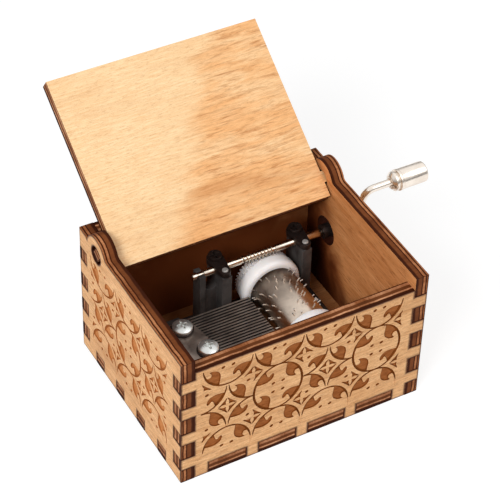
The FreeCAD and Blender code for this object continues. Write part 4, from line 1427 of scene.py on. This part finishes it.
# --- movement ---------------------------------------------------------------------------------
@dataclass(frozen=True)
class Refined:
    """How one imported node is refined: its edges are broken and its round faces smoothed."""

    body: str
    slot: str
    finish: bpy.types.Material
    edge: float = 0.08     # width of the broken edge in mm
    steps: int = 2
    sides: bpy.types.Material | None = None  # finish of all but the level faces where it differs
    level: float = 0.95    # a face is level where its normal's upward part is more than this
    worn: bpy.types.Material | None = None   # finish of the broken edges where it differs; the bedplate's lighter one paints highlights on them

    def build(self, node: str) -> None:
        """Build the refined piece from a merged copy of the node.

        Args:
            node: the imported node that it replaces.
        """
        obj = linked(node + "_finished", frame["nodes"][node].data.copy())
        bpy.ops.object.mode_set(mode="EDIT")
        bpy.ops.mesh.select_all(action="SELECT")
        bpy.ops.mesh.remove_doubles(threshold=WELD)
        bpy.ops.mesh.dissolve_limited(angle_limit=math.radians(FLAT))
        bpy.ops.object.mode_set(mode="OBJECT")
        obj.data.materials.clear()
        obj.data.materials.append(self.finish)
        if self.worn:
            obj.data.materials.append(self.worn)
        if self.edge:
            bevel = obj.modifiers.new("broken_edges", "BEVEL")
            bevel.material = 1 if self.worn else -1
            bevel.width = self.edge * MM
            bevel.segments = self.steps
            bevel.limit_method = "ANGLE"
            bevel.angle_limit = math.radians(SHARP)
            bevel.use_clamp_overlap = True
            bpy.ops.object.modifier_apply(modifier=bevel.name)
        if self.sides:
            obj.data.materials.append(self.sides)
            for face in obj.data.polygons:
                face.material_index = int(face.normal.z < self.level)
        bpy.ops.object.shade_smooth_by_angle(angle=math.radians(SHARP))
        hand_over(obj, self.body, node)


@dataclass
class Movement:
    """The cast frame, comb, pinned cylinder and shaft."""

    casting: Metal = Metal("die_cast_zinc", srgb(88, 84, 82), srgb(52, 49, 48), 0.4,
                           (1400.0, 1400.0, 1400.0), 0.02, 0.2, 0.45)
    # Lighter finish on the casting's broken edges: painted highlights.
    worn_zinc: Metal = Metal("painted_highlight_zinc_edge", srgb(150, 148, 150), srgb(96, 94, 96), 0.34,
                             metallic=0.5)
    blackened: Metal = Metal("black_steel", srgb(60, 48, 44), srgb(36, 28, 26), 0.36, metallic=0.6)
    comb_steel: Metal = Metal("ground_comb_steel", srgb(160, 145, 134), srgb(100, 87, 80), 0.38,
                              (120.0, 2600.0, 2600.0), 0.01, metallic=0.7)
    lead: Metal = Metal("dull_lead", srgb(120, 122, 126), srgb(84, 84, 88), 0.6)
    bright: Metal = Metal("bright_zinc_plate", srgb(243, 246, 243), srgb(214, 216, 212), 0.34,
                          metallic=0.8)
    nickel: Metal = Metal("polished_nickel", srgb(232, 220, 204), srgb(204, 188, 170), 0.2)
    pin_steel: Metal = Metal("pin_steel", srgb(244, 238, 230), srgb(214, 206, 198), 0.3, metallic=0.9)
    # The drum's dark tone towards the wheel is painted shade.
    drum: DrumPlate = DrumPlate("plated_drum", srgb(222, 205, 188), srgb(66, 50, 38), 0.34,
                                clean_to=0.0054, greasy_from=0.0088)
    # Near black sides of the comb's teeth: painted shade in the narrow spaces between them.
    gaps: Metal = Metal("comb_sides_painted_shade", srgb(24, 18, 16), srgb(14, 10, 9), 0.6, metallic=0.3)
    dowel: Metal = Metal("brushed_dowel", srgb(206, 204, 200), srgb(168, 166, 162), 0.36, metallic=0.55)
    acetal: Acetal = Acetal("white_acetal", srgb(254, 249, 246), srgb(248, 240, 237))
    screw_plate: Metal = Metal("zinc_screw", srgb(196, 190, 172), srgb(150, 142, 124), 0.3)

    def build(self) -> None:
        """Build and dress the movement."""
        casting, black = self.casting.material(), self.blackened.material()
        bright, nickel, acetal = self.bright.material(), self.nickel.material(), self.acetal.material()
        zinc, dark, shiny, white = "zinc_casting", "black_steel", "bright_steel", "white_plastic"
        refined = {
            # its broken edges take the lighter finish: painted highlights
            "bedplate": Refined("box", zinc, casting, 0.16, worn=self.worn_zinc.material()),
            "bearing_cap_left": Refined("box", dark, black),
            "bearing_cap_right": Refined("box", dark, black),
            "cap_screws": Refined("box", dark, black, 0.05),
            "cap_dowels": Refined("box", shiny, self.dowel.material(), 0.12),
            # its sides take the near black finish: painted shade between the teeth
            "comb": Refined("box", "comb_steel", self.comb_steel.material(), 0.09,
                            sides=self.gaps.material()),
            "comb_weights": Refined("box", "lead", self.lead.material(), 0.0),
            "comb_screws": Refined("box", shiny, bright, 0.06),
            "comb_washers": Refined("box", dark, black, 0.06),
            "mounting_screws": Refined("box", "screw_steel", self.screw_plate.material(), 0.05),
            "cylinder_barrel": Refined("cylinder", "nickel", self.drum.material(), 0.1),
            "cylinder_pins": Refined("cylinder", "nickel", self.pin_steel.material(), 0.0),
            "cylinder_arbor": Refined("cylinder", shiny, bright, 0.05),
            "worm_wheel": Refined("cylinder", white, acetal, 0.06),
            "cylinder_end_cap": Refined("cylinder", white, acetal, 0.06),
            "worm_shaft": Refined("crank", "nickel", nickel, 0.04),
            "crank_coupling": Refined("crank", dark, black, 0.1)}
        for node, piece in refined.items():
            piece.build(node)


@dataclass
class Crank:
    """The bent wire crank and its knob."""

    plate: Metal = Metal("satin_nickel", srgb(249, 238, 226), srgb(230, 216, 202), 0.22, spread=0.06,
                         metallic=0.95)
    wire_radius: float = 0.95
    bend: float = 2.3          # radius of the wire's two bends
    plane: float = 36.6        # place of the arm along the shaft
    head_radius: float = 1.45  # the peened end that keeps the knob on
    head_length: float = 0.8
    head_sides: int = 48
    bend_steps: int = 24
    round_steps: int = 12

    def bend_points(self) -> list[tuple[Vector, Vector]]:
        """The wire's line from the shaft to the knob.

        Returns:
            (place, way on) of each point; the way on is as long as a bend's radius.
        """
        shaft_low, shaft_high = corners("worm_shaft")
        knob_low, knob_high = corners("knob_sleeve")
        wire_low, wire_high = corners("crank_wire")
        shaft = (shaft_low + shaft_high) / 2
        knob = (knob_low + knob_high) / 2
        low = Vector((self.plane, shaft.y, shaft.z))
        high = Vector((self.plane, knob.y, knob.z))
        along = Vector((1, 0, 0)) * self.bend
        arm = (high - low).normalized() * self.bend
        return [(Vector((wire_low.x, shaft.y, shaft.z)), along), (low - along, along), (low + arm, arm),
                (high - arm, arm), (high + along, along), (Vector((wire_high.x, knob.y, knob.z)), along)]

    def wire(self, plate: bpy.types.Material) -> None:
        """Bend the wire as one round tube and put on its peened head.

        Args:
            plate: the wire's finish.
        """
        circle_handle = 0.5523  # handle of a quarter circle as a part of its radius
        same_spot = 1e-7
        points = self.bend_points()
        bpy.ops.object.select_all(action="DESELECT")
        bpy.ops.curve.primitive_bezier_curve_add(location=(0, 0, 0))
        obj = bpy.context.object
        obj.name = "crank_wire_bent"
        spline = obj.data.splines[0]
        spline.bezier_points.add(len(points) - 2)
        for spot, (place, leave) in zip(spline.bezier_points, points):
            spot.handle_left_type = spot.handle_right_type = "FREE"
            spot.co = place * MM
            spot.handle_left = (place - leave * circle_handle) * MM
            spot.handle_right = (place + leave * circle_handle) * MM
        obj.data.dimensions = "3D"
        obj.data.resolution_u = self.bend_steps
        obj.data.bevel_depth = self.wire_radius * MM
        obj.data.bevel_resolution = self.round_steps
        obj.data.use_fill_caps = True
        bpy.ops.object.convert(target="MESH")
        end = points[-1][0]
        bpy.ops.object.select_all(action="DESELECT")
        bpy.ops.mesh.primitive_cylinder_add(
            vertices=self.head_sides, radius=self.head_radius * MM, depth=self.head_length * MM,
            location=(end - Vector((self.head_length / 2, 0, 0))) * MM, rotation=(0, math.radians(90), 0))
        bpy.ops.object.transform_apply(location=True, rotation=True, scale=True)
        obj.select_set(True)
        bpy.context.view_layer.objects.active = obj
        bpy.ops.object.join()
        bpy.ops.object.mode_set(mode="EDIT")
        bpy.ops.mesh.select_all(action="SELECT")
        bpy.ops.mesh.remove_doubles(threshold=same_spot)
        bpy.ops.mesh.normals_make_consistent(inside=False)
        bpy.ops.object.mode_set(mode="OBJECT")
        obj.data.materials.clear()
        obj.data.materials.append(plate)
        bpy.ops.object.shade_smooth_by_angle(angle=math.radians(SHARP))
        hand_over(obj, "crank", "crank_wire")

    def build(self) -> None:
        """Build and dress the crank."""
        plate = self.plate.material()
        self.wire(plate)
        Refined("knob", "crank_nickel", plate, 0.08).build("knob_hub")
        Refined("knob", "crank_nickel", plate, 0.15).build("knob_sleeve")


# --- studio --------------------------------------------------------------------------------------
@dataclass(frozen=True)
class Lamp:
    """A square soft lamp."""

    name: str
    place: Triple
    size: float
    power: float
    mirrored: bool = True  # whether metal shows its image

    def hang(self, aim: Vector) -> None:
        """Put the lamp up.

        Args:
            aim: the point that it looks at.
        """
        data = bpy.data.lights.new(self.name, "AREA")
        data.size = self.size
        data.energy = self.power
        lamp = bpy.data.objects.new(self.name, data)
        bpy.context.scene.collection.objects.link(lamp)
        lamp.location = self.place
        lamp.visible_glossy = self.mirrored
        lamp.rotation_euler = (aim - Vector(self.place)).to_track_quat("-Z", "Y").to_euler()


@dataclass
class Studio:
    """Floor, lamps, world and camera."""

    camera_place: tuple[float, float, float] = (-0.17736, -0.30339, 0.35581)
    camera_turn: tuple[float, float, float] = (47.871, -1.436, -28.915)
    lens: float = 147.79
    sensor: float = 36.0
    floor_size: float = 6.0
    floor_drop: float = 0.0002   # how far the floor lies below the box
    floor_grey: float = 0.8      # of the floor as it lights the box
    shade_grey: float = 0.3      # of the floor before the camera, which takes the shadow
    glow: float = 0.78           # what makes that floor white
    sky: float = 0.42            # level of the surround as a light
    mirrored: tuple = ((0.0, 0.08), (0.19, 0.32), (0.36, 0.58), (0.54, 0.82), (0.7, 1.0))  # by height
    key: Lamp = Lamp("key", (-0.62, -0.4, 0.62), 0.4, 6.6, mirrored=False)
    fill: Lamp = Lamp("fill", (0.38, -0.42, 0.73), 0.6, 1.6)
    aim_height: float = 0.025

    def floor(self) -> None:
        """The pale floor, which shows white to the camera and keeps a soft shadow."""
        bpy.ops.object.select_all(action="DESELECT")
        bpy.ops.mesh.primitive_plane_add(size=self.floor_size, location=(0, 0, -self.floor_drop))
        floor = bpy.context.object
        floor.name = "floor"
        material = bpy.data.materials.new("floor")
        material.use_nodes = True
        nodes = Nodes(material.node_tree)
        rays = nodes.add("LightPath").outputs
        background = rays["Is Camera Ray"]
        for kind in ("Is Glossy Ray", "Is Transmission Ray"):
            background = nodes.math("MAXIMUM", background, rays[kind])
        matt = nodes.add("BsdfDiffuse", {"Color": grey(self.floor_grey)})
        shadowed = nodes.add("BsdfDiffuse", {"Color": grey(self.shade_grey)})
        glow = nodes.add("Emission", {"Strength": self.glow})
        white = nodes.add("AddShader", {0: shadowed.outputs[0], 1: glow.outputs[0]})
        seen = nodes.add("MixShader", {0: background, 1: matt.outputs[0], 2: white.outputs[0]})
        nodes.add("OutputMaterial", {"Surface": seen.outputs[0]})
        floor.data.materials.append(material)

    def world(self) -> None:
        """A white surround for what is seen, softer as a light, with a dim band that metal mirrors."""
        world = bpy.data.worlds.new("studio")
        bpy.context.scene.world = world
        world.use_nodes = True
        nodes = Nodes(world.node_tree)
        rays = nodes.add("LightPath").outputs
        height = nodes.axis(nodes.add("TexCoord").outputs["Generated"], "Z")
        level = nodes.between(rays["Is Glossy Ray"], self.sky, nodes.ramp(height, *self.mirrored))
        for kind in ("Is Camera Ray", "Is Transmission Ray"):
            level = nodes.between(rays[kind], level, 1.0)
        back = nodes.add("Background", {"Color": grey(1.0), "Strength": level})
        nodes.add("OutputWorld", {"Surface": back.outputs[0]})

    def camera(self) -> None:
        """The camera, which looks down into the open box from the front left."""
        data = bpy.data.cameras.new("camera")
        data.lens = self.lens
        data.sensor_width = self.sensor
        data.clip_start = 0.01
        camera = bpy.data.objects.new("camera", data)
        bpy.context.scene.collection.objects.link(camera)
        camera.location = self.camera_place
        camera.rotation_euler = Euler([math.radians(angle) for angle in self.camera_turn])
        bpy.context.scene.camera = camera

    def build(self) -> None:
        """Set the stage."""
        self.floor()
        self.world()
        for lamp in (self.key, self.fill):
            lamp.hang(Vector((0, 0, self.aim_height)))
        self.camera()
        bpy.context.scene.view_settings.view_transform = "Standard"


def main() -> None:
    """Build the looks of the whole box."""
    logging.basicConfig(level=logging.INFO, format="%(message)s")
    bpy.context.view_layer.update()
    Case().build()
    Movement().build()
    Crank().build()
    Studio().build()


if __name__ == "__main__":
    main()
